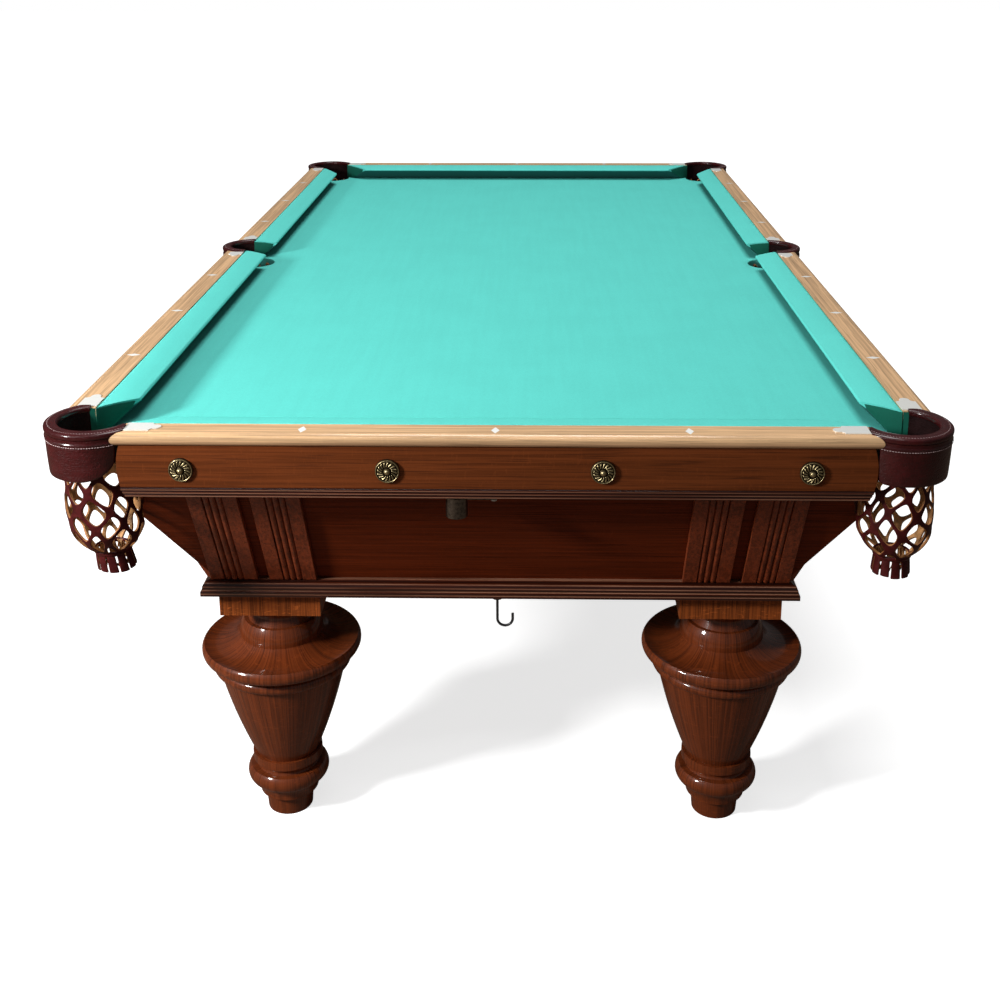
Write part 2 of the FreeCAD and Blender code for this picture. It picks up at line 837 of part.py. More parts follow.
slate_tools = fuse("slate_holes", pocket_holes("slate_rod", as_size(0) + gap) + bolt_rods)
third = slate_half_y / 3
joint = D["slate_joint"] / 2
for label, low_y, high_y in (
    ("slate_near", -slate_half_y, -third - joint),
    ("slate_middle", joint - third, third - joint),
    ("slate_far", third + joint, slate_half_y),
):
    low = (-slate_half_x, low_y, level(slate_low_drop))
    high = (slate_half_x, high_y, level(slate_top_drop))
    add_node(label, cut_away(label, add_block(label + "_block", low, high), slate_tools))

# Bed cloth: a skin over the slate's top, edges and pocket holes
skin_low = (-slate_half_x - cloth, -slate_half_y - cloth, level(slate_low_drop))
skin_high = (slate_half_x + cloth, slate_half_y + cloth, level(D["bed_drop"]))
core_low = (-slate_half_x, -slate_half_y, level(slate_low_drop + D["cut_over"]))
core_high = (slate_half_x, slate_half_y, level(slate_top_drop))
skin_block = add_block("cloth_block", skin_low, skin_high)
skin_tools = fuse("cloth_holes", pocket_holes("cloth_rod", cloth + gap) + bolt_rods)
skin = cut_away("cloth_holed", skin_block, skin_tools)
core_block = add_block("core_block", core_low, core_high)
core = cut_away("cloth_core", core_block, fuse("core_holes", pocket_holes("core_rod", gap)))
add_node("bed_cloth", cut_away("bed_cloth", skin, core))


# Leather pocket rings, irons and nets, drawn about the pocket's own middle
def half_plane_cut(body, kind, top_z, reach, low_z=None):
    """Take away what lies on the table's side of a pocket."""
    big = 2 * ring_radius["corner"]
    depth = None if low_z is None else top_z - low_z
    sketch = add_sketch(body, "XY_Plane", top_z)
    if kind == "corner":
        inner = -D["corner_clear"]
        points = [
            (inner, inner),
            (reach, inner),
            (reach, -big),
            (big, -big),
            (big, big),
            (-big, big),
            (-big, reach),
            (inner, reach),
        ]
        add_outline(sketch, points)
    else:
        add_rectangle(sketch, -big, -D["side_clear"], big, big)
    add_pocket(body, sketch, depth)


def add_leather(name, kind):
    hole = D[kind + "_hole"]
    ring = ring_radius[kind]
    top = level(-D["rim_rise"])
    low = level(D["rim_depth"])
    foot = level(face_low_drop - D["skirt_foot_rise"])
    skirt_out = ring - D["skirt_inset"]
    skirt_in = ring - D["iron_inset"] + gap
    inner = D["rim_inner_round"]
    outer = D["rim_outer_round"]
    body = new_body(name)
    sketch = add_sketch(body, "XZ_Plane")
    points = [
        (hole, low),
        (hole, top - inner),
        (hole + inner, top),
        (ring - outer, top),
        (ring, top - outer),
        (ring, low),
        (skirt_out, low),
        (skirt_out, foot),
        (skirt_in, foot),
        (skirt_in, low),
    ]
    quarter = 1 - math.sqrt(0.5)
    add_outline(sketch, points, {1: inner * quarter, 3: outer * quarter})
    add_revolution(body, sketch)
    half_plane_cut(body, kind, top, ring_reach)
    sketch = add_sketch(body, "XY_Plane", low)
    big = 2 * ring_radius["corner"]
    reach = skirt_reach[kind]
    if kind == "corner":
        points = [(reach, -big), (big, -big), (big, big), (-big, big), (-big, reach), (reach, reach)]
        add_outline(sketch, points)
    else:
        add_rectangle(sketch, reach, -big, big, big)
        add_rectangle(sketch, -big, -big, -reach, big)
    add_pocket(body, sketch)
    return body


def add_iron(name, kind):
    outer = ring_radius[kind] - D["iron_inset"]
    inner = outer - D["iron_wall"]
    top = level(D["rim_depth"] + gap)
    low = level(iron_low_drop)
    body = new_body(name)
    sketch = add_sketch(body, "XZ_Plane")
    add_outline(sketch, [(inner, low), (inner, top), (outer, top), (outer, low)])
    add_revolution(body, sketch)
    half_plane_cut(body, kind, top, ring_reach)
    return body


def add_net(name, kind):
    """Strap net as one hollow shell: collar, bag and open fringe."""
    hole = D[kind + "_hole"]
    wall = D["net_wall"]
    collar = ring_radius[kind] - D["iron_inset"] - D["iron_wall"] - gap
    neck = level(net_neck_drop)
    outer = [(hole * radius, neck - D["net_length"] * share) for radius, share in NET_SHARES]
    outer.append((hole * NET_FOOT_SHARE, level(net_foot_drop)))
    inner = [(radius - wall, z) for radius, z in outer]
    body = new_body(name)
    sketch = add_sketch(body, "XZ_Plane")
    points = [(collar - wall, level(D["net_collar_drop"])), (collar, level(D["net_collar_drop"]))]
    points += [(collar, neck + wall)] + outer
    points += [(hole * FRINGE_SHARE, level(fringe_drop)), (hole * FRINGE_SHARE - wall, level(fringe_drop))]
    points += list(reversed(inner)) + [(collar - wall, neck + wall)]
    add_outline(sketch, points)
    add_revolution(body, sketch)
    half_plane_cut(body, kind, level(D["net_collar_drop"]), ring_reach, neck)
    return body


POCKETS = {
    "near_left": ("corner", -1, -1, 0),
    "near_right": ("corner", 1, -1, 90),
    "far_right": ("corner", 1, 1, 180),
    "far_left": ("corner", -1, 1, 270),
    "middle_left": ("side", -1, 0, -90),
    "middle_right": ("side", 1, 0, 90),
}
irons = []
for where, (kind, sign_x, sign_y, turn) in POCKETS.items():
    x = (corner_centre_x if kind == "corner" else side_centre_x) * sign_x
    y = corner_centre_y * sign_y
    add_node("pocket_leather_" + where, place(add_leather("leather_" + where, kind), x, y, 0, turn))
    add_node("pocket_net_" + where, place(add_net("net_" + where, kind), x, y, 0, turn))
    irons.append(place(add_iron("iron_" + where, kind), x, y, 0, turn))
group_solids("pocket_irons", irons)


# Repeated small pieces
def add_template(name, points, rises=None):
    """Turned piece about an upright axis through the origin."""
    body = new_body(name)
    sketch = add_sketch(body, "XZ_Plane")
    add_outline(sketch, points, rises)
    add_revolution(body, sketch)
    doc.recompute()
    return body


def vector(x, y, z):
    return FreeCAD.Vector(as_size(x).number, as_size(y).number, as_size(z).number)


def add_copies(label, copies):
    """One node of separate solids: each a template set down at a point with a rotation."""
    solids = []
    for template, point, rotation in copies:
        shape = template.Shape.copy()
        shape.Placement = FreeCAD.Placement(point, rotation)
        solids.append(shape)
    group = doc.addObject("Part::Feature", label)
    group.Shape = Part.makeCompound(solids)
    return add_node(label, group)


def turned(angle):
    return FreeCAD.Rotation(FreeCAD.Vector(0, 0, 1), angle)


def facing_out(angle):
    """Turns an upright axis to point outward from the near end, then round to a side."""
    return turned(angle).multiply(FreeCAD.Rotation(FreeCAD.Vector(1, 0, 0), 90))


def rail_points(places_of, out, drop):
    """Points along all six rails at one distance out, with each rail's turn."""
    for kind, turn in RAILS.values():
        plan = RailPlan(kind)
        for along in places_of(plan):
            yield turned(turn).multVec(vector(along, plan.out(out), level(drop))), turn


sight = new_body("sight")
sketch = add_sketch(sight, "XY_Plane")
add_outline(sketch, lozenge(as_size(0), as_size(0), D["sight_along"], D["sight_across"]))
add_pad(sight, sketch, D["sight_depth"])
doc.recompute()
sight_spots = rail_points(RailPlan.sight_places, D["sight_out"], D["sight_depth"])
add_copies("sights", [(sight, point, turned(turn)) for point, turn in sight_spots])

washer_thickness = D["counterbore_depth"] - D["bolt_head_height"] - gap
shank_start = face_out - D["counterbore_depth"]
bolt_length = shank_start + washer_thickness - D["slate_margin"] + D["bolt_in_slate"]
bolt = add_template("rail_bolt", [
    (0, -bolt_length),
    (D["bolt_radius"], -bolt_length),
    (D["bolt_radius"], 0),
    (D["bolt_head_radius"], 0),
    (D["bolt_head_radius"], D["bolt_head_height"]),
    (0, D["bolt_head_height"]),
])
washer = add_template("washer", [
    (bolt_hole_radius, -washer_thickness),
    (D["counterbore_radius"] - gap, -washer_thickness),
    (D["counterbore_radius"] - gap, 0),
    (bolt_hole_radius, 0),
])
head_out = shank_start + washer_thickness
spots = list(rail_points(RailPlan.bolt_places, head_out, slate_mid_drop))
copies = [(piece, point, facing_out(turn)) for point, turn in spots for piece in (bolt, washer)]
add_copies("rail_bolts", copies)

flange = D["rosette_flange"]
dome = D["rosette_dome_radius"]
rosette = add_template("rosette", [
    (0, 0),
    (D["rosette_radius"], 0),
    (D["rosette_radius"], flange),
    (dome, flange),
    (dome / 3, D["rosette_height"] - flange / 3),
    (dome / 3, D["rosette_height"]),
    (0, D["rosette_height"]),
], {1: -flange / 3, 3: -flange / 3})
spots = rail_points(RailPlan.bolt_places, face_out, slate_mid_drop)
add_copies("rosette_caps", [(rosette, point, facing_out(turn)) for point, turn in spots])


def add_plate(name, length):
    """Flat plate with its inner end drawn in to a rounded tongue, along +X from the pocket."""
    width = D["plate_width"]
    body = new_body(name)
    sketch = add_sketch(body, "XY_Plane")
    tongue = width / 4
    points = [
        (0, -width / 2),
        (length - tongue * 2, -width / 2),
        (length - tongue, -tongue),
        (length - tongue, tongue),
        (length - tongue * 2, width / 2),
        (0, width / 2),
    ]
    add_outline(sketch, points, {1: tongue / 3, 2: -tongue, 3: tongue / 3})
    add_pad(body, sketch, D["plate_thickness"])
    doc.recompute()
    return body


corner_plate = add_plate("corner_plate", D["plate_length"])
side_plate = add_plate("side_plate", D["side_plate_length"])
plate_out = D["cushion_width"] + D["plate_width"] / 2
plates = []
for kind, turn in RAILS.values():
    plan = RailPlan(kind)
    for sign in plan.corner_signs:
        x = (plan.corner_line + D["corner_offset"] - ring_reach - gap) * sign
        spot = turned(turn).multVec(vector(x, plan.out(plate_out), height))
        plates.append((corner_plate, spot, turned(turn + (180 if sign > 0 else 0))))
    for sign in plan.side_signs:
        x = (ring_radius["side"] + gap) * sign
        spot = turned(turn).multVec(vector(x, plan.out(plate_out), height))
        plates.append((side_plate, spot, turned(turn + (0 if sign > 0 else 180))))
add_copies("pocket_plates", plates)


# Cabinet
panel_slope = (panel_top_margin + D["panel_foot_inset"]) / D["panel_height"]
panel_level_thickness = D["panel_thickness"] * (panel_slope * panel_slope + 1).root()


def panel_out(drop):
    """Distance out of the canted panels' outer face."""
    return panel_top_margin - (drop - panel_top_drop) * panel_slope


def cut_mitres(body, half_across, half_along, top_drop=0):
    """Cut both ends of a piece along the lines from the table's corners."""
    far = D["slate_margin"] + D["cut_over"]
    near = -4 * D["rail_width"]
    past = half_across + 2 * D["rail_width"]
    sketch = add_sketch(body, "XY_Plane", level(top_drop))
    for sign in (-1, 1):
        points = [
            ((half_across + near - gap / 2) * sign, -(half_along + near)),
            ((half_across + far - gap / 2) * sign, -(half_along + far)),
            (past * sign, -(half_along + far)),
            (past * sign, -(half_along + near)),
        ]
        add_outline(sketch, points)
    add_pocket(body, sketch)


def add_wall(name, along, across, points, rises=None):
    """Mitred piece along one side. along is half the side's length, across where its nose line is."""
    body = new_body(name)
    reach = along + 2 * D["rail_width"]
    sketch = add_sketch(body, "YZ_Plane", -reach)
    add_outline(sketch, [(-(across + out), level(drop)) for out, drop in points], rises)
    add_pad(body, sketch, 2 * reach)
    cut_mitres(body, along, across)
    return body


def cut_net_notches(body, along, across, at_middle):
    """Hollow a piece of the cabinet where the pocket nets hang. along is half the side's length."""
    notch = add_sketch(body, "XY_Plane", level(0))
    for sign in (-1, 1):
        x = (along + D["corner_offset"]) * sign
        add_circle(notch, x, -(across + D["corner_offset"]), D["corner_hole"] + D["notch_more"])
    if at_middle:
        add_circle(notch, 0, -(across + D["side_offset"]), D["side_hole"] + D["notch_more"])
    add_pocket(body, notch)


PANEL_SIDES = {
    "end_panel_near": (half_width, half_length, 0),
    "end_panel_far": (half_width, half_length, 180),
    "side_panel_left": (half_length, half_width, -90),
    "side_panel_right": (half_length, half_width, 90),
}
panel_points = [
    (panel_out(panel_top_drop), panel_top_drop),
    (panel_out(panel_foot_drop), panel_foot_drop),
    (panel_out(panel_foot_drop) - panel_level_thickness, panel_foot_drop),
    (panel_out(panel_top_drop) - panel_level_thickness, panel_top_drop),
]
profile_top = -D["panel_foot_inset"] + D["base_proud_top"]
profile_foot = -D["panel_foot_inset"] + D["base_proud_foot"]
profile_back = -D["panel_foot_inset"] - D["base_depth"]
moulding_points = [
    (profile_back, panel_foot_drop + gap),
    (profile_top, panel_foot_drop + gap),
    (profile_top + D["base_fillet"], panel_foot_drop + D["base_fillet"]),
    (profile_foot - D["base_fillet"], base_low_drop - D["base_fascia"] - D["base_fillet"]),
    (profile_foot, base_low_drop - D["base_fascia"]),
    (profile_foot, base_low_drop),
    (profile_back, base_low_drop),
]
hook_y = -(half_length + profile_foot - D["base_depth"] / 2)
base_mouldings = []
bead_mouldings = []
for label, (along, across, turn) in PANEL_SIDES.items():
    panel = add_wall(label, along, across, panel_points)
    cut_net_notches(panel, along, across, across is half_width)
    add_node(label, place(panel, turn=turn))
    moulding = add_wall(label + "_base", along, across, moulding_points, {2: -D["base_fillet"]})
    if turn == 0:
        hook_hole = add_sketch(moulding, "XY_Plane", level(base_low_drop))
        add_circle(hook_hole, D["chalk_pivot_x"], hook_y, D["hook_wire"] / 2 + gap)
        add_pocket(moulding, hook_hole, D["hook_in"] + gap, True)
    base_mouldings.append(place(moulding, turn=turn))
group_solids("base_mouldings", base_mouldings)


def add_bead(name, turn, along, across, start, stop, signs):
    """Three reeds under a rail's face, with a back that follows the canted panel.

    signs names the ends that lie at a corner.
    """
    body = new_body(name)
    step = D["bead_height"] / 3
    top = face_low_drop
    outer = face_out + D["bead_proud"]
    dip = step / 3
    points = [
        (panel_out(top) + gap, top),
        (outer - dip, top),
        (outer - dip, top + step),
        (outer - dip * 2, top + step),
        (outer - dip * 2, top + step * 2),
        (outer - dip * 3, top + step * 2),
        (outer - dip * 3, bead_low_drop),
        (panel_out(bead_low_drop) + gap, bead_low_drop),
    ]
    sketch = add_sketch(body, "YZ_Plane", start)
    section = [(-(across + out), level(drop)) for out, drop in points]
    add_outline(sketch, section, {1: -dip, 3: -dip, 5: -dip})
    add_pad(body, sketch, stop - start)
    cut_net_notches(body, along, across, False)
    cut_face_ends(body, along, signs)
    return place(body, turn=turn)


middle_end = D["side_face_end"] + D["bead_side_set"]
for along, across, turn in PANEL_SIDES.values():
    if across is half_length:
        bead_mouldings.append(add_bead(f"bead_{turn}", turn, along, across, -along, along, (-1, 1)))
        continue
    bead_mouldings.append(add_bead(f"bead_low_{turn}", turn, along, across, -along, -middle_end, (-1,)))
    bead_mouldings.append(add_bead(f"bead_high_{turn}", turn, along, across, middle_end, along, (1,)))
group_solids("bead_mouldings", bead_mouldings)


def add_pilaster(name, turn, across, middle):
    """Board on a canted panel with four grooves that leave three reeds."""
    body = new_body(name)
    top = bead_low_drop + D["pilaster_top_gap"]
    foot = panel_foot_drop - gap
    thick = D["pilaster_thickness"]
    start = middle - D["pilaster_width"] / 2
    back = [(panel_out(top) + gap, top), (panel_out(foot) + gap, foot)]
    front = [(out + thick, drop) for out, drop in reversed(back)]
    sketch = add_sketch(body, "YZ_Plane", start)
    add_outline(sketch, [(-(across + out), level(drop)) for out, drop in back + front])
    add_pad(body, sketch, D["pilaster_width"])
    over = D["cut_over"]
    groove = [(out + thick - D["groove_depth"], drop) for out, drop in back]
    groove += [(out + over, drop) for out, drop in front]
    for number in (-3, -1, 1, 3):
        stop = middle + D["reed_width"] * number / 2 + D["reed_width"] / 4
        sketch = add_sketch(body, "YZ_Plane", stop)
        add_outline(sketch, [(-(across + out), level(drop)) for out, drop in groove])
        add_pocket(body, sketch, D["reed_width"] / 2)
    return place(body, turn=turn)


pilasters = []
for along, across, turn in PANEL_SIDES.values():
    for number in (0, 1):
        inset = pilaster_outer_inset + D["pilaster_pitch"] * number
        for sign in (-1, 1):
            name = f"pilaster_{turn}_{number}_{sign}"
            pilasters.append(add_pilaster(name, turn, across, (along - inset) * sign))
group_solids("pilasters", pilasters)

# Base frame, leg blocks and the frame under the slate
frame_x = half_width + profile_back - gap
frame_y = half_length + profile_back - gap
board = D["board_width"]
board_top = level(panel_foot_drop + gap)
board_low = level(base_low_drop)
leg_x = half_width - leg_axis_inset
leg_y = half_length - leg_axis_inset
bolt_step = D["neck_radius"] * LEG_BOLT_SHARE


def leg_bolt_spots():
    for sign_x, sign_y in CORNER_SIGNS:
        for side_x, side_y in ((-1, -1), (1, 1)):
            yield leg_x * sign_x + bolt_step * side_x, leg_y * sign_y + bolt_step * side_y


leg_hole_radius = D["leg_bolt_radius"] + D["bolt_clearance"]
bolt_rods = []
for number, (x, y) in enumerate(leg_bolt_spots()):
    low = level(block_low_drop) - D["leg_bolt_in_leg"]
    length = board_top + D["cut_over"] - low
    bolt_rods.append(add_rod(f"leg_rod_{number}", leg_hole_radius, length, x, y, low))
leg_holes = fuse("leg_holes", bolt_rods)

boards = []
for number, sign in enumerate((-1, 1)):
    ends = sorted((frame_y * sign, (frame_y - board) * sign), key=lambda size: size.number)
    blank = add_block(f"end_board_{number}", (-frame_x, ends[0], board_low), (frame_x, ends[1], board_top))
    boards.append(cut_away(f"end_board_holed_{number}", blank, leg_holes))
    sides = sorted((frame_x * sign, (frame_x - board) * sign), key=lambda size: size.number)
    inner_y = frame_y - board - gap
    low = (sides[0], -inner_y, board_low)
    boards.append(add_block(f"long_board_{number}", low, (sides[1], inner_y, board_top)))
group_solids("base_frame", boards)

blocks = []
half_block = D["block_width"] / 2
for number, (sign_x, sign_y) in enumerate(CORNER_SIGNS):
    x, y = leg_x * sign_x, leg_y * sign_y
    low = (x - half_block, y - half_block, level(block_low_drop))
    high = (x + half_block, y + half_block, level(base_low_drop))
    blocks.append(cut_away(f"block_{number}", add_block(f"block_blank_{number}", low, high), leg_holes))
group_solids("leg_blocks", blocks)

beam = D["beam_width"]
beam_top = level(slate_low_drop)
beam_low = beam_top - D["beam_height"]
inner_out = panel_out(slate_low_drop + D["beam_height"]) - panel_level_thickness - gap
beam_x = half_width + inner_out
beam_y = half_length + inner_out
beams = []
for number, sign in enumerate((-1, 1)):
    sides = sorted((beam_x * sign, (beam_x - beam) * sign), key=lambda size: size.number)
    low = (sides[0], -beam_y, beam_low)
    beams.append(add_block(f"long_beam_{number}", low, (sides[1], beam_y, beam_top)))
cross_x = beam_x - beam - gap
for number, middle in enumerate((-(beam_y - beam / 2), -third, third, beam_y - beam / 2)):
    low = (-cross_x, middle - beam / 2, beam_low)
    beams.append(add_block(f"cross_beam_{number}", low, (cross_x, middle + beam / 2, beam_top)))
for number, (sign_x, sign_y) in enumerate(CORNER_SIGNS):
    x, y = leg_x * sign_x, (frame_y - board) * sign_y
    low = (x - beam / 2, y - beam / 2, board_top)
    beams.append(add_block(f"post_{number}", low, (x + beam / 2, y + beam / 2, beam_low)))
group_solids("slate_frame", beams)


# Turned legs
def add_leg(name):
    """Leg turned from the block down to the rim, and from the floor up to the ankle ring.

    The tapered shaft between them takes up what the table's height leaves.
    """
    body = new_body(name)
    sketch = add_sketch(body, "XZ_Plane")
    neck = D["neck_radius"]
    disc = D["neck_disc_radius"]
    collar = D["collar_radius"]
    rim = D["rim_radius"]
    bead = D["under_bead_radius"]
    ankle = D["ankle_radius"]
    ring = D["ankle_ring_radius"]
    foot = D["foot_radius"]
    step = D["leg_step"]
    foot_top = D["foot_height"]
    ankle_low = foot_top + D["foot_taper_height"]
    ankle_top = ankle_low + D["ankle_height"]
    ring_low = ankle_top + D["ankle_cove_height"]
    ring_top = ring_low + D["ankle_ring_height"]
    leg_top = level(block_low_drop)
    disc_low = leg_top - D["neck_disc_height"]
    neck_top = disc_low - D["neck_cove_height"]
    collar_top = neck_top - D["neck_height"]
    collar_low = collar_top - D["collar_height"]
    rim_top = collar_low - D["shoulder_height"]
    rim_low = rim_top - D["rim_height"]
    bead_low = rim_low - D["under_bead_height"]
    points = [
        (0, 0),
        (foot, 0),
        (foot + step, foot_top),
        (foot + step * 4, foot_top),
        (D["foot_top_radius"], ankle_low),
        (ankle - step, ankle_low),
        (ankle - step, ankle_top),
        (ring - step * 2, ankle_top),
        (ring - step, ring_low),
        (ring, ring_low),
        (ring, ring_top),
        (D["shaft_low_radius"], ring_top),
        (D["shaft_top_radius"], bead_low),
        (bead - step * 2, bead_low),
        (bead - step * 2, rim_low - step * 3),
        (rim - step * 3, rim_low),
        (rim - step * 2, rim_top),
        (collar, collar_low),
        (collar - step * 3, collar_top),
        (neck + step * 2, collar_top),
        (neck, neck_top),
        (disc - step, disc_low),
        (disc, disc_low),
        (disc, leg_top),
        (0, leg_top),
    ]
    rises = {
        2: step * 1.2,
        3: step,
        5: -step * 2,
        7: step,
        9: -gap,
        11: -step * 1.4,
        13: -step * 2,
        15: -step * 2,
        16: step * 3,
        17: -step,
        20: step,
    }
    add_outline(sketch, points, rises)
    add_revolution(body, sketch)
    return body


for where, (sign_x, sign_y) in zip(("near_left", "near_right", "far_right", "far_left"), CORNER_SIGNS):
    blank = place(add_leg("leg_turned_" + where), leg_x * sign_x, leg_y * sign_y)
    add_node("leg_" + where, cut_away("leg_" + where, blank, leg_holes))

leg_bolts = []
for number, (x, y) in enumerate(leg_bolt_spots()):
    low = level(block_low_drop) - D["leg_bolt_in_leg"] + gap
    shank = add_rod(f"leg_shank_{number}", D["leg_bolt_radius"], board_top - low, x, y, low)
    head = add_rod(f"leg_head_{number}", 2 * D["leg_bolt_radius"], D["leg_bolt_radius"], x, y, board_top)
    leg_bolts.append(fuse(f"leg_bolt_{number}", [shank, head]))
group_solids("leg_bolts", leg_bolts)

# Chalk holder under the near end's bead moulding
plate_top = level(bead_low_drop)
pivot_x = D["chalk_pivot_x"]
pivot_y = -(half_length + face_out - D["chalk_pivot_in"])
plate_low = plate_top - D["chalk_plate_thickness"]
half_plate = D["chalk_plate_length"] / 2
half_plate_width = D["chalk_plate_width"] / 2
pin_clear = D["chalk_pin_radius"] + D["chalk_pin_clearance"]
pin_rod = add_rod("pin_hole", pin_clear, 4 * D["cut_over"], pivot_x, pivot_y, plate_top - 3 * D["cut_over"])
blank = add_block(
    "bracket_blank",
    (pivot_x - half_plate, pivot_y - half_plate_width, plate_low),
    (pivot_x + half_plate, pivot_y + half_plate_width, plate_top),
)
add_node("chalk_bracket", cut_away("bracket_holed", blank, pin_rod))

arm_top = plate_low - D["chalk_arm_gap"]
arm_low = arm_top - D["chalk_arm_thickness"]
cup_x = pivot_x - D["chalk_arm_length"]
half_arm = D["chalk_arm_width"] / 2
arm_bar = add_block(
    "arm_bar",
    (cup_x, pivot_y - half_arm, arm_low),
    (pivot_x, pivot_y + half_arm, arm_top),
)
arm_end = add_rod("arm_end", half_arm, arm_top - arm_low, pivot_x, pivot_y, arm_low)
cup_low = arm_top - D["chalk_cup_height"]
cup_floor = cup_low + D["chalk_cup_wall"]
cup_outer = add_rod("cup_outer", D["chalk_cup_radius"], D["chalk_cup_height"], cup_x, pivot_y, cup_low)
cup_inner_radius = D["chalk_cup_radius"] - D["chalk_cup_wall"]
cup_hollow = add_rod("cup_hollow", cup_inner_radius, D["chalk_cup_height"], cup_x, pivot_y, cup_floor)
holder = fuse("holder_solid", [arm_bar, arm_end, cup_outer])
add_node("chalk_holder", cut_away("holder_holed", holder, fuse("holder_hollows", [pin_rod, cup_hollow])))

pin_top = plate_top
pin_low = arm_low - D["chalk_arm_gap"]
pin = add_rod("pin", D["chalk_pin_radius"], pin_top - pin_low, pivot_x, pivot_y, pin_low)
head_low = pin_low - D["chalk_head_height"]
pin_head = add_rod("pin_head", D["chalk_head_radius"], D["chalk_head_height"], pivot_x, pivot_y, head_low)
add_node("chalk_pivot_screw", fuse("pivot_screw", [pin, pin_head]))


# Screw hook under the near end's base moulding
hook_x = D["chalk_pivot_x"]
wire = D["hook_wire"] / 2
bend = D["hook_bend"]
hook_top = level(base_low_drop)
bend_z = hook_top - D["hook_drop"] + bend + wire
shank = add_rod("hook_shank", wire, hook_top + D["hook_in"] - bend_z, hook_x, hook_y, bend_z)
flange_thickness = D["hook_flange_thickness"]
flange_low = hook_top - flange_thickness
hook_flange = add_rod("hook_flange", D["hook_flange_radius"], flange_thickness, hook_x, hook_y, flange_low)
tip = add_rod("hook_tip", wire, D["hook_tip"], hook_x + 2 * bend, hook_y, bend_z)
curl = doc.addObject("Part::Torus", "hook_curl")
curl.Radius1 = bend.number
curl.Radius2 = wire.number
curl.Angle3 = 180
curl.setExpression("Radius1", bend.formula)
curl.setExpression("Radius2", wire.formula)
place(curl, hook_x + bend, hook_y, bend_z)
curl.Placement.Rotation = FreeCAD.Rotation(FreeCAD.Vector(1, 0, 0), -90)
add_node("bridge_hook", fuse("bridge_hook", [shank, hook_flange, curl, tip]))


def export_all():
    """Check every object and write each node's solids."""
    doc.recompute()
    for thing in doc.Objects:
        if "Invalid" in thing.State or "Error" in thing.State:
            raise RuntimeError(f"{thing.Name} failed: {thing.State}")
    for cut in cuts:
        base = cut.BaseFeature if hasattr(cut, "BaseFeature") else cut.Base
        if cut.Shape.Volume > base.Shape.Volume - 1:
            raise RuntimeError(f"{cut.Name} cuts nothing")
    os.makedirs("parts", exist_ok=True)
    for label, node in nodes.items():
        shape = node.Shape
        if shape.isNull() or not shape.isValid() or not shape.Solids:
            raise RuntimeError(f"{label} has no valid shape")
        shape.exportStep(f"parts/{label}.step")
        print(label, len(shape.Solids), round(shape.Volume / 1000, 1))


export_all()
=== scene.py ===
"""Billiard table: oak, cloth, leather and strap nets dressed over the shared frame. Metres."""
import math

import bmesh
import bpy
import numpy as np
from mathutils import Matrix


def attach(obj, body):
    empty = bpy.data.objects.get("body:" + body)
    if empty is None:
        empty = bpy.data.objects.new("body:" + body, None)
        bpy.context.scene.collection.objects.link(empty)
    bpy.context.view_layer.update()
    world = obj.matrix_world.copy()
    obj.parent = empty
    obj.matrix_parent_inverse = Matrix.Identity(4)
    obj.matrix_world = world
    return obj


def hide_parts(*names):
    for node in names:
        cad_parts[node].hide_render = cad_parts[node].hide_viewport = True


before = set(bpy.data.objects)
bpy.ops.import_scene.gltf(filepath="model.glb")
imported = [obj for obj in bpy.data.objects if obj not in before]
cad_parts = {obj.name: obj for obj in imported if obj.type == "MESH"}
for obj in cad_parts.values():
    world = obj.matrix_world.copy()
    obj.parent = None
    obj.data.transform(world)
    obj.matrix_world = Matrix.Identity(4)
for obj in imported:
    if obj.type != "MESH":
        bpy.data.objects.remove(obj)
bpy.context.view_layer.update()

# Sizes shared with the frame
TOP = 0.844
HALF_W = 0.5842
HALF_L = 1.1684
CUSHION_W = 0.052
BED_DROP = 0.042
CLOTH = 0.001
SLATE_EDGE = 0.048
SLATE_CUT = 0.003
CORNER_OFF = 0.036
SIDE_OFF = 0.047
CORNER_HOLE = 0.055
SIDE_HOLE = 0.050
CORNER_RING = 0.076
SIDE_RING = 0.070
CORNER_REACH = 0.058
CORNER_CLEAR = 0.024
SIDE_CLEAR = 0.0047
CORNER_SKIRT = 0.0464
SIDE_SKIRT = 0.0557
SEAM_DROP = 0.0185
SKIRT_FOOT = 0.0756
NET_NECK = 0.0745
NET_FOOT = 0.2150
FACE_OUT = 0.094
BOLT_DROP = 0.058
PANEL_TOP = (0.0483, 0.081)
PANEL_FOOT = (-0.0972, 0.334)
RAILS = {
    "near": ("end", 0),
    "far": ("end", 180),
    "left_near": ("plus", -90),
    "left_far": ("minus", -90),
    "right_far": ("plus", 90),
    "right_near": ("minus", 90),
}
CORNERS = {
    "near_left": (-1, -1, 0),
    "near_right": (1, -1, 90),
    "far_right": (1, 1, 180),
    "far_left": (-1, 1, 270),
}
MIDDLES = {"middle_left": (-1, -90), "middle_right": (1, 90)}


# Geometry helpers
def turned(points, degrees):
    """Points turned about the vertical through the origin."""
    c, s = math.cos(math.radians(degrees)), math.sin(math.radians(degrees))
    x, y = points[..., 0], points[..., 1]
    return np.stack([x * c - y * s, x * s + y * c, points[..., 2]], -1)


def moved(points, x=0.0, y=0.0, z=0.0):
    return points + np.array([x, y, z])


def closed_loop(half_a, half_b, power, count):
    """Rounded rectangle: |a / half_a| to the power plus |b / half_b| to the power is 1."""
    t = np.linspace(0, 2 * np.pi, count, endpoint=False)
    c, s = np.cos(t), np.sin(t)
    return np.stack([
        half_a * np.sign(c) * np.abs(c) ** (2 / power),
        half_b * np.sign(s) * np.abs(s) ** (2 / power),
    ], -1)


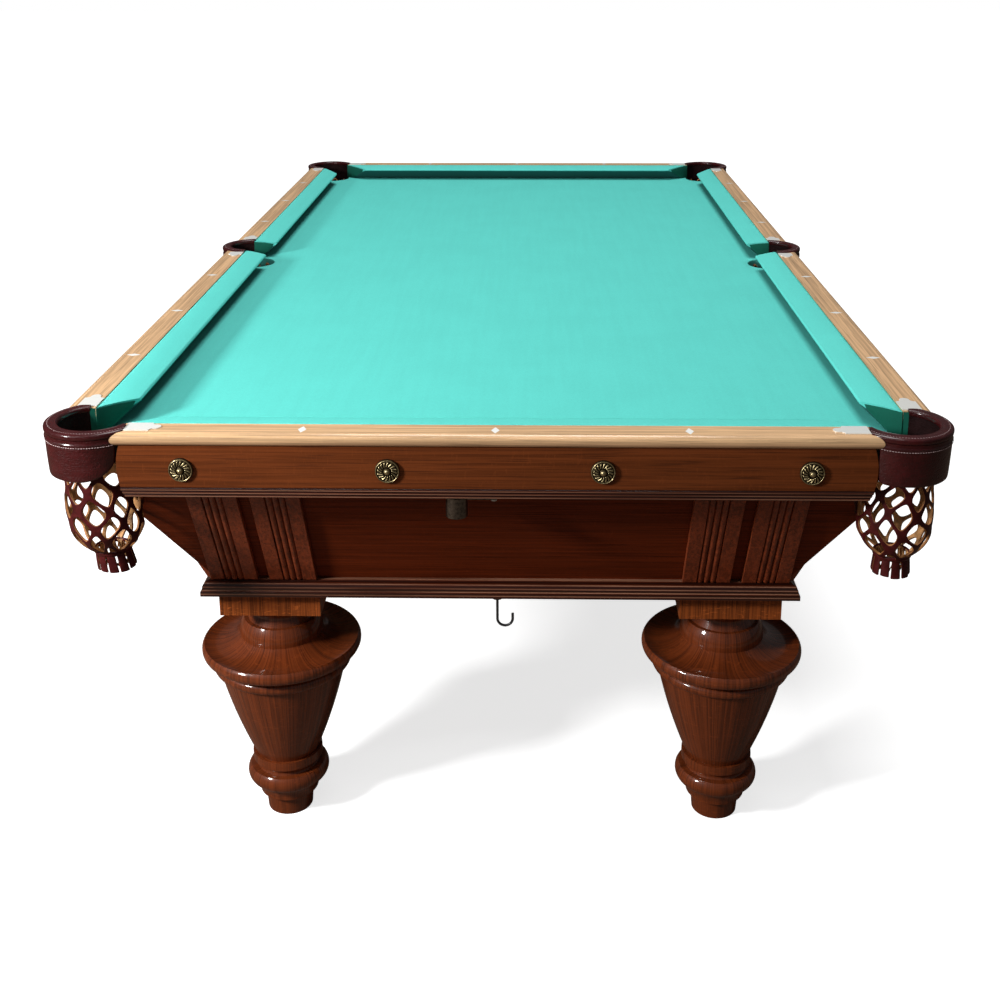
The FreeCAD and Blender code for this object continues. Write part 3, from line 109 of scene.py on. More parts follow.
class Piece:
    """A mesh put together from surfaces, each worked out as a whole grid of points."""

    def __init__(self, name):
        self.name = name
        self.points = []
        self.uvs = []
        self.faces = []
        self.count = 0

    def add(self, grid, wrap_u=False, wrap_v=False, ends=False, uv=None):
        """grid is rows by columns of points. A face joins (i, j), (i+1, j), (i+1, j+1) and (i, j+1).

        wrap_u and wrap_v join the last row or column to the first. ends closes the first and last
        row of a tube with a fan about the row's middle.
        """
        rows, cols = grid.shape[:2]
        if uv is None:
            uv = np.stack(np.meshgrid(np.linspace(0, 1, rows), np.linspace(0, 1, cols), indexing="ij"), -1)
        index = np.arange(rows * cols).reshape(rows, cols) + self.count
        first, last = index[0], index[-1]
        if wrap_u:
            index = np.vstack([index, index[:1]])
        if wrap_v:
            index = np.hstack([index, index[:, :1]])
        quads = np.stack([index[:-1, :-1], index[1:, :-1], index[1:, 1:], index[:-1, 1:]], -1)
        self.faces += quads.reshape(-1, 4).tolist()
        self.points.append(grid.reshape(-1, 3))
        self.uvs.append(uv.reshape(-1, 2))
        self.count += rows * cols
        if ends:
            for ring, row in ((first, 0), (last[::-1], -1)):
                self.points.append(grid[row].mean(axis=0)[None])
                self.uvs.append(uv[row].mean(axis=0)[None])
                fan = np.stack([ring, np.roll(ring, -1), np.full(cols, self.count)], -1)
                self.faces += fan.tolist()
                self.count += 1

    def make(self, material, body="table", replaces=(), wall=0.0, merge=1e-6, crease=40, rounds=0):
        """crease is the angle past which an edge stays sharp, and rounds the levels of subdivision."""
        mesh = bpy.data.meshes.new(self.name)
        mesh.from_pydata(np.concatenate(self.points).tolist(), [], self.faces)
        layer = mesh.uv_layers.new(name="uv")
        loops = np.empty(len(mesh.loops), dtype=np.int32)
        mesh.loops.foreach_get("vertex_index", loops)
        layer.data.foreach_set("uv", np.concatenate(self.uvs)[loops].astype(np.float32).ravel())
        work = bmesh.new()
        work.from_mesh(mesh)
        bmesh.ops.remove_doubles(work, verts=work.verts, dist=merge)
        bmesh.ops.dissolve_degenerate(work, edges=work.edges, dist=merge)
        bmesh.ops.recalc_face_normals(work, faces=work.faces)
        work.to_mesh(mesh)
        work.free()
        mesh.shade_smooth()
        if crease:
            mesh.set_sharp_from_angle(angle=math.radians(crease))
        obj = bpy.data.objects.new(self.name, mesh)
        bpy.context.scene.collection.objects.link(obj)
        mesh.materials.append(material)
        if rounds:
            soft = obj.modifiers.new("rounded", "SUBSURF")
            soft.levels = soft.render_levels = rounds
        if wall:
            skin = obj.modifiers.new("wall", "SOLIDIFY")
            skin.thickness = wall
            skin.offset = -1
        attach(obj, body)
        if replaces:
            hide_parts(*replaces)
        return obj


# Shader maths
class Wire:
    """A shader value that sums like a number; each sign adds its Math node."""

    def __init__(self, shade, socket):
        self.shade = shade
        self.socket = socket

    def _math(self, operation, a, b):
        return self.shade.node("ShaderNodeMath", {"operation": operation}, {0: a, 1: b})

    def __add__(self, other):
        return self._math("ADD", self, other)

    def __sub__(self, other):
        return self._math("SUBTRACT", self, other)

    def __rsub__(self, other):
        return self._math("SUBTRACT", other, self)

    def __mul__(self, other):
        return self._math("MULTIPLY", self, other)

    __radd__ = __add__
    __rmul__ = __mul__


class Shade:
    """One material and the nodes behind its surface."""

    def __init__(self, name, **surface):
        self.material = bpy.data.materials.new(name)
        self.material.use_nodes = True
        self.tree = self.material.node_tree
        self.surface = self.tree.nodes["Principled BSDF"]
        for key, value in surface.items():
            self.surface.inputs[key.replace("_", " ")].default_value = value

    def node(self, kind, settings, values, out=0):
        """A node of one kind: its settings first, then its sockets' values or links."""
        made = self.tree.nodes.new(kind)
        for key, value in settings.items():
            setattr(made, key, value)
        for key, value in values.items():
            self.feed(made.inputs[key], value)
        return Wire(self, made.outputs[out])

    def feed(self, socket, value):
        if isinstance(value, Wire):
            self.tree.links.new(value.socket, socket)
        else:
            socket.default_value = value

    def into(self, name, value):
        self.feed(self.surface.inputs[name], value)

    def place(self, scale=(1, 1, 1), axis=None):
        """Object coordinates. With axis, the four legs' turned wood: way round each leg, and height."""
        coords = self.node("ShaderNodeTexCoord", {}, {}, out="Object")
        if axis:
            parts = [self.node("ShaderNodeSeparateXYZ", {}, {0: coords}, out=part) for part in range(3)]
            flat = [self.node("ShaderNodeMath", {"operation": "ABSOLUTE"}, {0: part}) for part in parts[:2]]
            spoke = self.node("ShaderNodeCombineXYZ", {}, {0: flat[0] - axis[0], 1: flat[1] - axis[1]})
            spoke = self.node("ShaderNodeVectorMath", {"operation": "NORMALIZE"}, {0: spoke})
            round_leg = self.node("ShaderNodeVectorMath", {"operation": "SCALE"}, {0: spoke, 3: LEG_GIRTH})
            height = self.node("ShaderNodeCombineXYZ", {}, {2: parts[2]})
            coords = self.node("ShaderNodeVectorMath", {"operation": "ADD"}, {0: round_leg, 1: height})
        return self.node("ShaderNodeMapping", {}, {"Vector": coords, "Scale": scale})

    def height(self):
        return self.node("ShaderNodeSeparateXYZ", {}, {0: self.place()}, out=2)

    def noise(self, vector, scale, detail=3.0, rough=0.5, twist=0.0):
        values = {"Vector": vector, "Scale": scale, "Detail": detail, "Roughness": rough, "Distortion": twist}
        return self.node("ShaderNodeTexNoise", {}, values)

    def band(self, value, low, high):
        """0 below low, 1 above high, smooth between."""
        settings = {"interpolation_type": "SMOOTHSTEP"}
        return self.node("ShaderNodeMapRange", settings, {"Value": value, "From Min": low, "From Max": high})

    def mix(self, factor, a, b, blend="MIX"):
        settings = {"data_type": "RGBA", "blend_type": blend}
        return self.node("ShaderNodeMix", settings, {0: factor, 6: a, 7: b}, out=2)

    def bump(self, height, strength, distance):
        return self.node("ShaderNodeBump", {}, {"Height": height, "Strength": strength, "Distance": distance})

    def uv(self, part):
        spread = self.node("ShaderNodeUVMap", {"uv_map": "uv"}, {})
        return self.node("ShaderNodeSeparateXYZ", {}, {0: spread}, out=part)


def colour(r, g, b):
    return (r, g, b, 1.0)


def stain(tone, share):
    """A colour made darker or paler."""
    return tuple(min(1.0, part * share) for part in tone[:3]) + (1.0,)


def oak(
    name, tone, along, gloss, coat, shine, flecks, broad, pores,
    deep=0.62, lacquer=1.5, low=None, reed_highlight=None, axis=None,
):
    """Quarter-sawn oak of one stain.

    Long streaks, as dark as the share deep, and a broad tone run with the grain. Wavy pale ray
    flecks run across it, and fine dark pores lie along it. lacquer is the refraction of the coat.
    low tints the wood below the rounded top of a rail cap, as painted shade where the bullnose turns down.
    The tone for a moulding's reeds is a painted highlight on their crests, in patches, with painted shade
    in their hollows, and axis is where a leg stands, for wood turned about it.
    """
    def stretch(length, across):
        return tuple(length if part == along else across for part in range(3))

    dark, mid, light = (stain(tone, share) for share in (deep, 1.0, 1.5))
    pore_fill_and_shade = stain(tone, 0.25)
    shade = Shade(name, Coat_Weight=coat, Coat_Roughness=0.09, Coat_IOR=lacquer, Specular_IOR_Level=shine)
    streak = shade.noise(shade.place(stretch(2.6, 210), axis), 1.0, 6, 0.66, 0.25)
    slow = shade.noise(shade.place(stretch(1.3, 14)), 1.0, 3, 0.55, 0.6)
    ray = shade.noise(shade.place(stretch(150, 40)), 1.0, 4, 0.62, 1.6)
    pore = shade.noise(shade.place(stretch(9, 560), axis), 1.0, 2, 0.5)
    wood = shade.mix(shade.band(streak, 0.38, 0.62), dark, mid)
    wood = shade.mix(shade.band(slow, 0.4, 0.75) * broad, wood, light)
    ray_mask = shade.band(ray, 0.57, 0.66) * flecks
    wood = shade.mix(ray_mask, wood, light)
    pore_mask = shade.band(pore, 0.55, 0.68) * pores
    wood = shade.mix(pore_mask, wood, pore_fill_and_shade)
    # Painted shade: the cap's wood is tinted darker below its rounded top, where the bullnose turns down.
    if low:
        wood = shade.mix(1.0 - shade.band(shade.height(), *CAP_ROUND), wood, low, "MULTIPLY")
    # Painted highlight on the reeds' crests, in patches of a slow noise, and painted shade, the dark pore
    # tone, in their hollows.
    if reed_highlight:
        turns = (shade.height() - REED_MIDDLE) * (2 * math.pi / REED_PITCH)
        wave = shade.node("ShaderNodeMath", {"operation": "COSINE"}, {0: turns})
        wear_and_glint = shade.band(wave, 0.55, 0.98) * shade.band(slow, 0.25, 0.6)
        wood = shade.mix(wear_and_glint, shade.mix(shade.band(wave, -0.95, -0.2), pore_fill_and_shade, wood), reed_highlight)
    shade.into("Base Color", wood)
    shade.into("Roughness", gloss + streak * 0.12 + pore_mask * 0.25)
    shade.into("Normal", shade.bump(streak * 0.35 - pore_mask, 0.3, 0.0005))
    return shade.material


def cloth(name, tone, under=False):
    """Napped wool: soft mottling, faint brushed streaks along the table and a fine fibre bump.

    under paints shade on the part of a cushion's cloth that is tucked in below the nose, much darker than the
    rest.
    """
    shade = Shade(name, Sheen_Weight=0.08, Sheen_Roughness=0.5, Specular_IOR_Level=0.1)
    shade.surface.inputs["Sheen Tint"].default_value = tone
    mottle = shade.noise(shade.place(), 9.0, 4, 0.6)
    brushed = shade.noise(shade.place((60, 4, 60)), 1.0, 3, 0.6)
    fibre = shade.noise(shade.place(), 1100.0, 2, 0.6)
    fuzz = shade.noise(shade.place(), 330.0, 3, 0.7)
    cloudy = shade.band(mottle * 0.5 + brushed * 0.5, 0.35, 0.65)
    wool = shade.mix(cloudy, stain(tone, 0.98), stain(tone, 1.03))
    hairs = shade.band(fibre * 0.5 + fuzz * 0.5, 0.35, 0.72) * 0.3
    wool = shade.mix(hairs, wool, stain(tone, 0.6))
    # Painted shade: the cloth tucked in below the nose is made much darker.
    if under:
        wool = shade.mix(shade.band(shade.uv(1), *NOSE_SHADE_BAND), wool, stain(tone, 0.14))
    shade.into("Base Color", wool)
    shade.into("Roughness", 0.82 + fibre * 0.15)
    shade.into("Normal", shade.bump(fibre, 0.5, 0.0006))
    return shade.material


def leather(name, tone, gloss, shine, coat):
    """Pebbled leather: fine cells for the grain, soft creases, paler with wear where a slow noise is high."""
    shade = Shade(name, Coat_Weight=coat, Coat_Roughness=0.16, Coat_IOR=1.8, Specular_IOR_Level=shine)
    cells = shade.node("ShaderNodeTexVoronoi", {}, {"Vector": shade.place(), "Scale": 420.0})
    wear = shade.noise(shade.place(), 34.0, 5, 0.7)
    crease = shade.noise(shade.place((60, 60, 180)), 1.0, 4, 0.65, 1.2)
    hide = shade.mix(shade.band(wear, 0.38, 0.7), stain(tone, 0.55), stain(tone, 1.45))
    hide = shade.mix(shade.band(cells, 0.1, 0.45) * 0.35, stain(tone, 0.5), hide)
    shade.into("Base Color", hide)
    shade.into("Roughness", gloss + wear * 0.2)
    shade.into("Normal", shade.bump(cells * 0.3 + wear * 0.8 + crease, 0.9, 0.0020))
    return shade.material


def strap_leather(name, face, edge, back):
    """Cut leather, by the second UV: burgundy face where it is low, then golden cut edge, then brown back.

    The tones run into each other over the bands FACE_TO_EDGE and EDGE_TO_BACK.
    """
    shade = Shade(name, Specular_IOR_Level=0.15)
    wear = shade.noise(shade.place(), 70.0, 4, 0.6)
    wear_and_glint = shade.band(wear, 0.35, 0.7)
    place = shade.uv(1)
    front = shade.mix(wear_and_glint, stain(face, 0.7), stain(face, 1.4))
    hide = shade.mix(shade.band(place, *FACE_TO_EDGE), front, edge)
    rear = shade.mix(wear_and_glint, stain(back, 0.6), stain(back, 1.3))
    hide = shade.mix(shade.band(place, *EDGE_TO_BACK), hide, rear)
    shade.into("Base Color", hide)
    shade.into("Roughness", 0.3 + wear * 0.25)
    fine = shade.noise(shade.place(), 900.0, 2, 0.6)
    shade.into("Normal", shade.bump(fine, 0.3, 0.0005))
    return shade.material


def metal(name, tone, dull, rough, tarnish, scale=220.0, shiny=1.0):
    """Metal with patchy tarnish. shiny is how far it is a metal, and less under a dull film."""
    shade = Shade(name, Metallic=shiny)
    patch = shade.noise(shade.place(), scale, 5, 0.65)
    shade.into("Base Color", shade.mix(shade.band(patch, 0.4, 0.7) * tarnish, tone, dull))
    shade.into("Roughness", rough + patch * 0.25)
    shade.into("Normal", shade.bump(patch, 0.2, 0.0004))
    return shade.material


def relief_brass(name, bright, deep):
    """Cast brass: bright on the raised parts and dark in the hollows. The first UV is the relief."""
    shade = Shade(name, Metallic=0.9)
    patch = shade.noise(shade.place(), 500.0, 4, 0.6)
    height = shade.uv(0)
    shade.into("Base Color", shade.mix(shade.band(height + patch * 0.3, 0.4, 0.95), deep, bright))
    shade.into("Roughness", 0.55 - height * 0.25)
    shade.into("Normal", shade.bump(patch, 0.25, 0.0004))
    return shade.material


def plain(name, tone, rough, **more):
    """Plain finish with a faint speckle."""
    shade = Shade(name, **more)
    spot = shade.noise(shade.place(), 300.0, 4, 0.6)
    shade.into("Base Color", shade.mix(spot * 0.15, tone, stain(tone, 0.4)))
    shade.into("Roughness", rough + spot * 0.1)
    shade.into("Normal", shade.bump(spot, 0.2, 0.0004))
    return shade.material


HONEY = colour(0.72, 0.445, 0.235)
WALNUT = colour(0.15, 0.036, 0.009)
DARK_WALNUT = colour(0.15, 0.023, 0.005)
TRIM_TONE = colour(0.060, 0.010, 0.003)
# Tone of the painted highlight on the crests of a moulding's reeds.
TRIM_PAINTED_HIGHLIGHT = colour(0.32, 0.15, 0.09)
BLOCK_TONE = colour(0.30, 0.070, 0.014)
LEG_TONE = colour(0.17, 0.034, 0.008)
GREEN = colour(0.112, 0.60, 0.535)
# Tint of the painted shade on a rail cap below its rounded top.
CAP_LOWER_SHADE = colour(0.46, 0.37, 0.38)
BOARD_TONE = colour(0.23, 0.044, 0.014)
RAW_TONE = colour(0.45, 0.31, 0.18)
ACROSS, ALONG, UPRIGHT = 0, 1, 2
CAP_ROUND = (0.820, 0.839)
REED_MIDDLE = 0.7419
REED_PITCH = 0.0058
LEG_AXIS = (0.3958, 0.98)
LEG_GIRTH = 0.18
# Band of the cushion cloth's second UV where the painted shade under the nose begins.
NOSE_SHADE_BAND = (0.66, 0.74)
FACE_TO_EDGE = (0.3, 0.42)
EDGE_TO_BACK = (0.68, 0.82)
# The cap's low tint is painted shade below its rounded top.
cap_oak = {
    "gloss": 0.3, "coat": 0.3, "shine": 0.2, "flecks": 0.06, "broad": 0.25, "pores": 0.45,
    "lacquer": 1.7, "low": CAP_LOWER_SHADE,
}
rail_oak = {"gloss": 0.34, "coat": 0.0, "shine": 0.12, "flecks": 0.2, "broad": 0.3, "pores": 0.6}
panel_oak = {"gloss": 0.4, "coat": 0.0, "shine": 0.06, "flecks": 0.15, "broad": 0.25, "pores": 0.6}
finish = {
    "cap_x": oak("oak_cap_across", HONEY, ACROSS, **cap_oak),
    "cap_y": oak("oak_cap_along", HONEY, ALONG, **cap_oak),
    "rail_x": oak("oak_rail_across", WALNUT, ACROSS, **rail_oak),
    "rail_y": oak("oak_rail_along", WALNUT, ALONG, **rail_oak),
    "panel_x": oak("oak_panel_across", DARK_WALNUT, ACROSS, **panel_oak),
    "panel_y": oak("oak_panel_along", DARK_WALNUT, ALONG, **panel_oak),
    "board": oak(
        "oak_pilaster", BOARD_TONE, UPRIGHT, gloss=0.3, coat=0.1, shine=0.2, flecks=0.5,
        broad=0.3, pores=0.7, deep=0.45,
    ),
    # The moulding has a painted highlight on its reeds' crests and painted shade between them.
    "trim": oak(
        "oak_moulding", TRIM_TONE, ACROSS, gloss=0.3, coat=0.5, shine=0.15, flecks=0.1,
        broad=0.3, pores=0.5, deep=0.5, lacquer=1.6, reed_highlight=TRIM_PAINTED_HIGHLIGHT,
    ),
    "block": oak(
        "oak_block", BLOCK_TONE, UPRIGHT, gloss=0.36, coat=0.0, shine=0.15, flecks=0.9,
        broad=0.3, pores=0.8, deep=0.4,
    ),
    "leg": oak(
        "oak_leg", LEG_TONE, UPRIGHT, gloss=0.36, coat=0.4, shine=0.12, flecks=0.4,
        broad=0.25, pores=0.7, deep=0.45, lacquer=1.75, axis=LEG_AXIS,
    ),
    "raw": oak(
        "inner_wood", RAW_TONE, ALONG, gloss=0.6, coat=0.0, shine=0.2, flecks=0.1,
        broad=0.5, pores=0.55,
    ),
    "bed": cloth("bed_cloth_green", GREEN),
    # The cushion cloth carries painted shade under its nose.
    "cushion": cloth("cushion_cloth_green", GREEN, under=True),
    # Painted shade: the jaw facings' cloth is a much darker green than the bed's, for the shade on the jaws.
    "facing": cloth("facing_cloth_painted_shade", colour(0.008, 0.10, 0.068)),
    "leather": leather("burgundy_leather", colour(0.062, 0.004, 0.005), gloss=0.34, shine=0.1, coat=0.3),
    "lining": leather("dark_leather", colour(0.022, 0.008, 0.008), gloss=0.5, shine=0.05, coat=0.0),
    "strap": strap_leather(
        "strap_leather",
        face=colour(0.055, 0.006, 0.006),
        edge=colour(0.34, 0.15, 0.055),
        back=colour(0.46, 0.24, 0.10),
    ),
    "thread": plain("pale_thread", colour(0.50, 0.36, 0.36), 0.6),
    "brass": relief_brass("antique_brass", colour(0.36, 0.29, 0.15), colour(0.020, 0.012, 0.006)),
    "nickel": metal(
        "nickel_plate", colour(0.84, 0.84, 0.80), colour(0.70, 0.69, 0.64),
        rough=0.2, tarnish=0.3, scale=90.0, shiny=0.3,
    ),
    "pearl": plain("pearl_sight", colour(0.92, 0.92, 0.88), 0.2, Coat_Weight=0.6),
    "iron": plain("cast_iron", colour(0.03, 0.03, 0.03), 0.6),
    "steel": metal("plain_steel", colour(0.5, 0.5, 0.5), colour(0.25, 0.24, 0.22), rough=0.3, tarnish=0.5),
    "aged": metal(
        "aged_metal", colour(0.14, 0.12, 0.10), colour(0.03, 0.026, 0.022), rough=0.2, tarnish=0.8,
    ),
    "black": plain("black_enamel", colour(0.018, 0.018, 0.020), 0.3),
    "slate": plain("slate", colour(0.10, 0.11, 0.12), 0.6),
    "rubber": plain("gum_rubber", colour(0.05, 0.04, 0.03), 0.7),
}


def dress(node, key):
    """Gives a node of the frame its finish."""
    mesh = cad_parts[node].data
    mesh.materials.clear()
    mesh.materials.append(finish[key])


for side, (kind, _) in RAILS.items():
    grain = "x" if kind == "end" else "y"
    dress("rail_cap_" + side, "cap_" + grain)
    dress("rail_" + side, "rail_" + grain)
    dress("cushion_rubber_" + side, "rubber")
for node, key in {
    "end_panel_near": "panel_x",
    "end_panel_far": "panel_x",
    "side_panel_left": "panel_y",
    "side_panel_right": "panel_y",
    "base_mouldings": "trim",
    "bead_mouldings": "trim",
    "base_frame": "raw",
    "slate_frame": "raw",
    "feather_strips": "raw",
    "leg_blocks": "block",
    "pocket_irons": "iron",
    "pocket_plates": "nickel",
    "sights": "pearl",
    "rail_bolts": "steel",
    "leg_bolts": "steel",
    "chalk_bracket": "black",
    "chalk_holder": "aged",
    "chalk_pivot_screw": "steel",
    "bridge_hook": "black",
}.items():
    dress(node, key)
for part in ("near", "middle", "far"):
    dress("slate_" + part, "slate")
for where in CORNERS:
    dress("leg_" + where, "leg")


# Bed cloth. Each row of its turned edge is a way in from the edge and a drop below the rail's top.
BED_ROUND = 0.0022
BED_EDGE_ROWS = (
    (0, 0.0728),
    (0, 0.058),
    (0, 0.0455),
    (0.0003, 0.0437),
    (0.0010, 0.0425),
    (BED_ROUND, BED_DROP),
)


def bed_quarter():
    """Edge of the cloth in one quarter: arc of the middle pocket, side, arc of the corner pocket, end."""
    edge_x = HALF_W + SLATE_EDGE + CLOTH
    edge_y = HALF_L + SLATE_EDGE + CLOTH
    side_r = SIDE_HOLE + SLATE_CUT - CLOTH
    side_x = HALF_W + SIDE_OFF
    stop = math.acos((edge_x - side_x) / side_r)
    t = np.linspace(math.pi, stop, 20)
    middle = np.stack([side_x + side_r * np.cos(t), side_r * np.sin(t)], -1)
    corner_r = CORNER_HOLE + SLATE_CUT - CLOTH
    cx, cy = HALF_W + CORNER_OFF, HALF_L + CORNER_OFF
    lean = math.asin((edge_x - cx) / corner_r)
    t = np.linspace(1.5 * math.pi + lean, math.pi - lean, 26)
    corner = np.stack([cx + corner_r * np.cos(t), cy + corner_r * np.sin(t)], -1)
    side = np.linspace(middle[-1], corner[0], 30)[1:-1]
    end = np.linspace(corner[-1], [0, edge_y], 20)[1:]
    return np.concatenate([middle, side, corner, end])


def make_bed_cloth():
    """Cloth stretched over the slate and down its edges.

    A point at share q is the edge point moved q of the way to the table's middle line, and the
    first rows turn down over the slate's edge.
    """
    quarter = bed_quarter()
    edge = np.concatenate([
        quarter,
        quarter[-2::-1] * [-1, 1],
        quarter[1:] * [-1, -1],
        quarter[-2:0:-1] * [1, -1],
    ])
    spine = np.stack([np.zeros(len(edge)), np.clip(edge[:, 1], HALF_W - HALF_L, HALF_L - HALF_W)], -1)
    way = spine - edge
    way /= np.linalg.norm(way, axis=1, keepdims=True)
    rows = []
    for inset, drop in BED_EDGE_ROWS:
        ring = edge + way * inset
        rows.append(np.column_stack([ring, np.full(len(ring), TOP - drop)]))
    start = edge + way * BED_ROUND
    for q in np.linspace(0, 1, 36)[1:]:
        ring = start + (spine - start) * q
        rows.append(np.column_stack([ring, np.full(len(ring), TOP - BED_DROP)]))
    grid = np.stack(rows)
    piece = Piece("bed_cloth_stretched")
    piece.add(grid, wrap_v=True)
    obj = piece.make(finish["bed"], replaces=["bed_cloth"], wall=0.0009)


# Cushion cloths. Points of their section are a way out from the nose line and a drop.
CUSHION_BACK = (0.0516, 0.00035)
CUSHION_FRONT = (0.0035, 0.0066)
CUSHION_CROWN = 0.0011
CUSHION_TUCK = 0.0016
NOSE_MIDDLE = (0.0042, 0.0101)
NOSE_HALF = (0.0042, 0.0038)
CUSHION_FOOT = (0.0360, 0.0414)
CORNER_JAW = 0.084
CORNER_SLANT = 0.0668 / CUSHION_W
MIDDLE_JAW = 0.064
MIDDLE_SLANT = 0.25


def cushion_profile():
    """Section of the covered cushion: crowned top, nose of a part ellipse, slanting underside."""
    q = np.linspace(0, 1, 16)
    top_out = CUSHION_BACK[0] + (CUSHION_FRONT[0] - CUSHION_BACK[0]) * q
    top_drop = CUSHION_BACK[1] + (CUSHION_FRONT[1] - CUSHION_BACK[1]) * q
    top_drop = top_drop - CUSHION_CROWN * np.sin(np.pi * q) ** 0.8
    top_drop[0] = CUSHION_TUCK
    a = np.linspace(math.radians(80), math.radians(-52), 12)
    nose_out = NOSE_MIDDLE[0] - NOSE_HALF[0] * np.cos(a)
    nose_drop = NOSE_MIDDLE[1] - NOSE_HALF[1] * np.sin(a)
    under = np.linspace([nose_out[-1], nose_drop[-1]], CUSHION_FOOT, 9)[1:]
    return np.concatenate([np.stack([top_out, top_drop], -1), np.stack([nose_out, nose_drop], -1), under])


def rail_span(kind, out):
    """Start and end along the rail of a cushion at a distance out, at its slanted jaws."""
    line = HALF_W if kind == "end" else HALF_L
    corner = line - CORNER_JAW + out * CORNER_SLANT
    middle = MIDDLE_JAW - out * MIDDLE_SLANT
    if kind == "end":
        return -corner, corner
    if kind == "plus":
        return middle, corner
    return -corner, -middle


def make_cushion_cloths():
    """Each cloth is the section carried between the two jaws and folded over them.

    At a jaw, rows pull the section to the chord between its first and last point.
    """
    piece = Piece("cushion_cloths_fitted")
    section = cushion_profile()
    out, drop = section[:, 0], section[:, 1]
    for kind, angle in RAILS.values():
        nose = HALF_L if kind == "end" else HALF_W
        start, stop = rail_span(kind, out)
        u = np.linspace(0, 1, 61)[:, None]
        x = start + (stop - start) * u
        body = np.stack(np.broadcast_arrays(x, -(nose + out), TOP - drop), -1)
        s = np.linspace(0, 1, len(out))[:, None]
        chord = section[0] + (section[-1] - section[0]) * s
        caps = []
        for pick, row in ((0, 0), (1, -1)):
            layers = []
            for q in (0.04, 0.3, 0.65, 1.0):
                flat = section + (chord - section) * q
                ends = rail_span(kind, flat[:, 0])[pick]
                layers.append(np.stack([ends, -(nose + flat[:, 0]), TOP - flat[:, 1]], -1))
            caps.append(np.stack(layers[::-1] if row == 0 else layers))
        grid = turned(np.concatenate([caps[0], body, caps[1]]), angle)
        piece.add(grid)
    obj = piece.make(finish["cushion"], replaces=["cushion_cloths"], wall=0.0008)


# Pocket leathers. Each is drawn about its pocket's own middle and then put in its place.
RIM_HALF = 0.0055
RIM_DROP = 0.0028
RIM_TILT = 0.0008
SKIRT_INSET = 0.0012
SKIRT_HALF = 0.0021
SKIRT_TAPER = 0.0025
SKIRT_DEPTH = 0.076
SKIRT_ROUND = 0.074
FOOT_DROP = 0.0735
BEAD_DROP = 0.0145
BEAD_PROUD = 0.0011
BEAD_HALF = 0.0013
STITCH_HALF = (0.0016, 0.0007, 0.0006)
RIM_PITCH = 0.0044
SEAM_PITCH = 0.0040
PIPING_HALF = (0.0012, 0.0010)
LINING_DEPTH = 0.052
SKIRT_CORNER = (0.030, 0.022)
SKIRT_CORNERS = {"near_left": (0.060, 0.040), "near_right": (0.014, 0.010)}


def corner_stop(r, reach):
    """Angle past the table's own quarter at which a ring of radius r is cut off at a corner."""
    along = np.arcsin(np.minimum(1, CORNER_CLEAR / r))
    return np.maximum(along, np.arccos(np.minimum(1, reach / r)))


def middle_stop(r, reach):
    """The same at a middle pocket, past the line of the rail."""
    return np.maximum(np.arcsin(SIDE_CLEAR / r), np.arccos(np.minimum(1, reach / r)))


def swept_ring(loop, corner, reach, count=97, run=0.0, rise=0.0):
    """A closed section (radius, height) carried round the pocket from one cut to the other.

    At share u and radius r the angle is -stop(r) - u (full - 2 stop(r)), where full is three
    quarters of a turn at a corner and half a turn at a middle pocket. Near both cuts the lower
    edge rises by a quarter ellipse, run long and rise high.
    """
    r, z = loop[:, 0], loop[:, 1]
    stop = corner_stop(r, reach) if corner else middle_stop(r, reach)
    full = 1.5 * math.pi if corner else math.pi
    u = np.linspace(0, 1, count)[:, None]
    angle = -stop - u * (full - 2 * stop)
    height = np.broadcast_to(z, angle.shape)
    if rise:
        to_cut = np.minimum(u, 1 - u) * (full - 2 * stop) * r
        lift = rise * (1 - np.sqrt(1 - (1 - np.clip(to_cut / run, 0, 1)) ** 2))
        low_share = np.clip((TOP - height - SEAM_DROP) / (SKIRT_FOOT - SEAM_DROP), 0, 1)
        height = height + lift * low_share
    return np.stack([r * np.cos(angle), r * np.sin(angle), height], -1)


def set_pocket(grid, where):
    """Puts a shape drawn about a pocket's own middle in its place."""
    if where in CORNERS:
        sign_x, sign_y, angle = CORNERS[where]
        return moved(turned(grid, angle), sign_x * (HALF_W + CORNER_OFF), sign_y * (HALF_L + CORNER_OFF))
    sign_x, angle = MIDDLES[where]
    return moved(turned(grid, angle), sign_x * (HALF_W + SIDE_OFF))


def rim_section(hole, ring):
    """Rounded roll of the rim, a little higher toward the hole."""
    half = (ring - hole) / 2
    loop = closed_loop(half, RIM_HALF, 3.2, 36)
    lift = RIM_TILT * (1 - loop[:, 0] / half) / 2
    return np.stack([loop[:, 0] + (ring + hole) / 2, loop[:, 1] + TOP - RIM_DROP + lift], -1)


def skirt_section(ring):
    """Skirt wall with a rounded lower edge, drawn in with the square of its depth.

    The rolled seam under the rim is a bell curve of the height.
    """
    above = np.linspace(-0.0075, -0.0115, 4)
    seam = np.linspace(-0.0125, -0.0165, 7)
    below = np.linspace(-0.018, -0.072, 14)
    z = np.concatenate([above, seam, below])
    bead = BEAD_PROUD * np.exp(-((z + BEAD_DROP) / BEAD_HALF) ** 2)
    shrink = SKIRT_TAPER * (-z / SKIRT_DEPTH) ** 2
    outer = np.stack([ring - SKIRT_INSET + bead - shrink, TOP + z], -1)
    a = np.linspace(0, math.pi, 7)[1:-1]
    foot_r = ring - SKIRT_INSET - SKIRT_TAPER * (SKIRT_ROUND / SKIRT_DEPTH) ** 2 - SKIRT_HALF
    foot_z = TOP - FOOT_DROP
    foot = np.stack([foot_r + SKIRT_HALF * np.cos(a), foot_z - SKIRT_HALF * np.sin(a)], -1)
    inner = outer[::-1] - [2 * SKIRT_HALF, 0]
    return np.concatenate([outer, foot, inner])


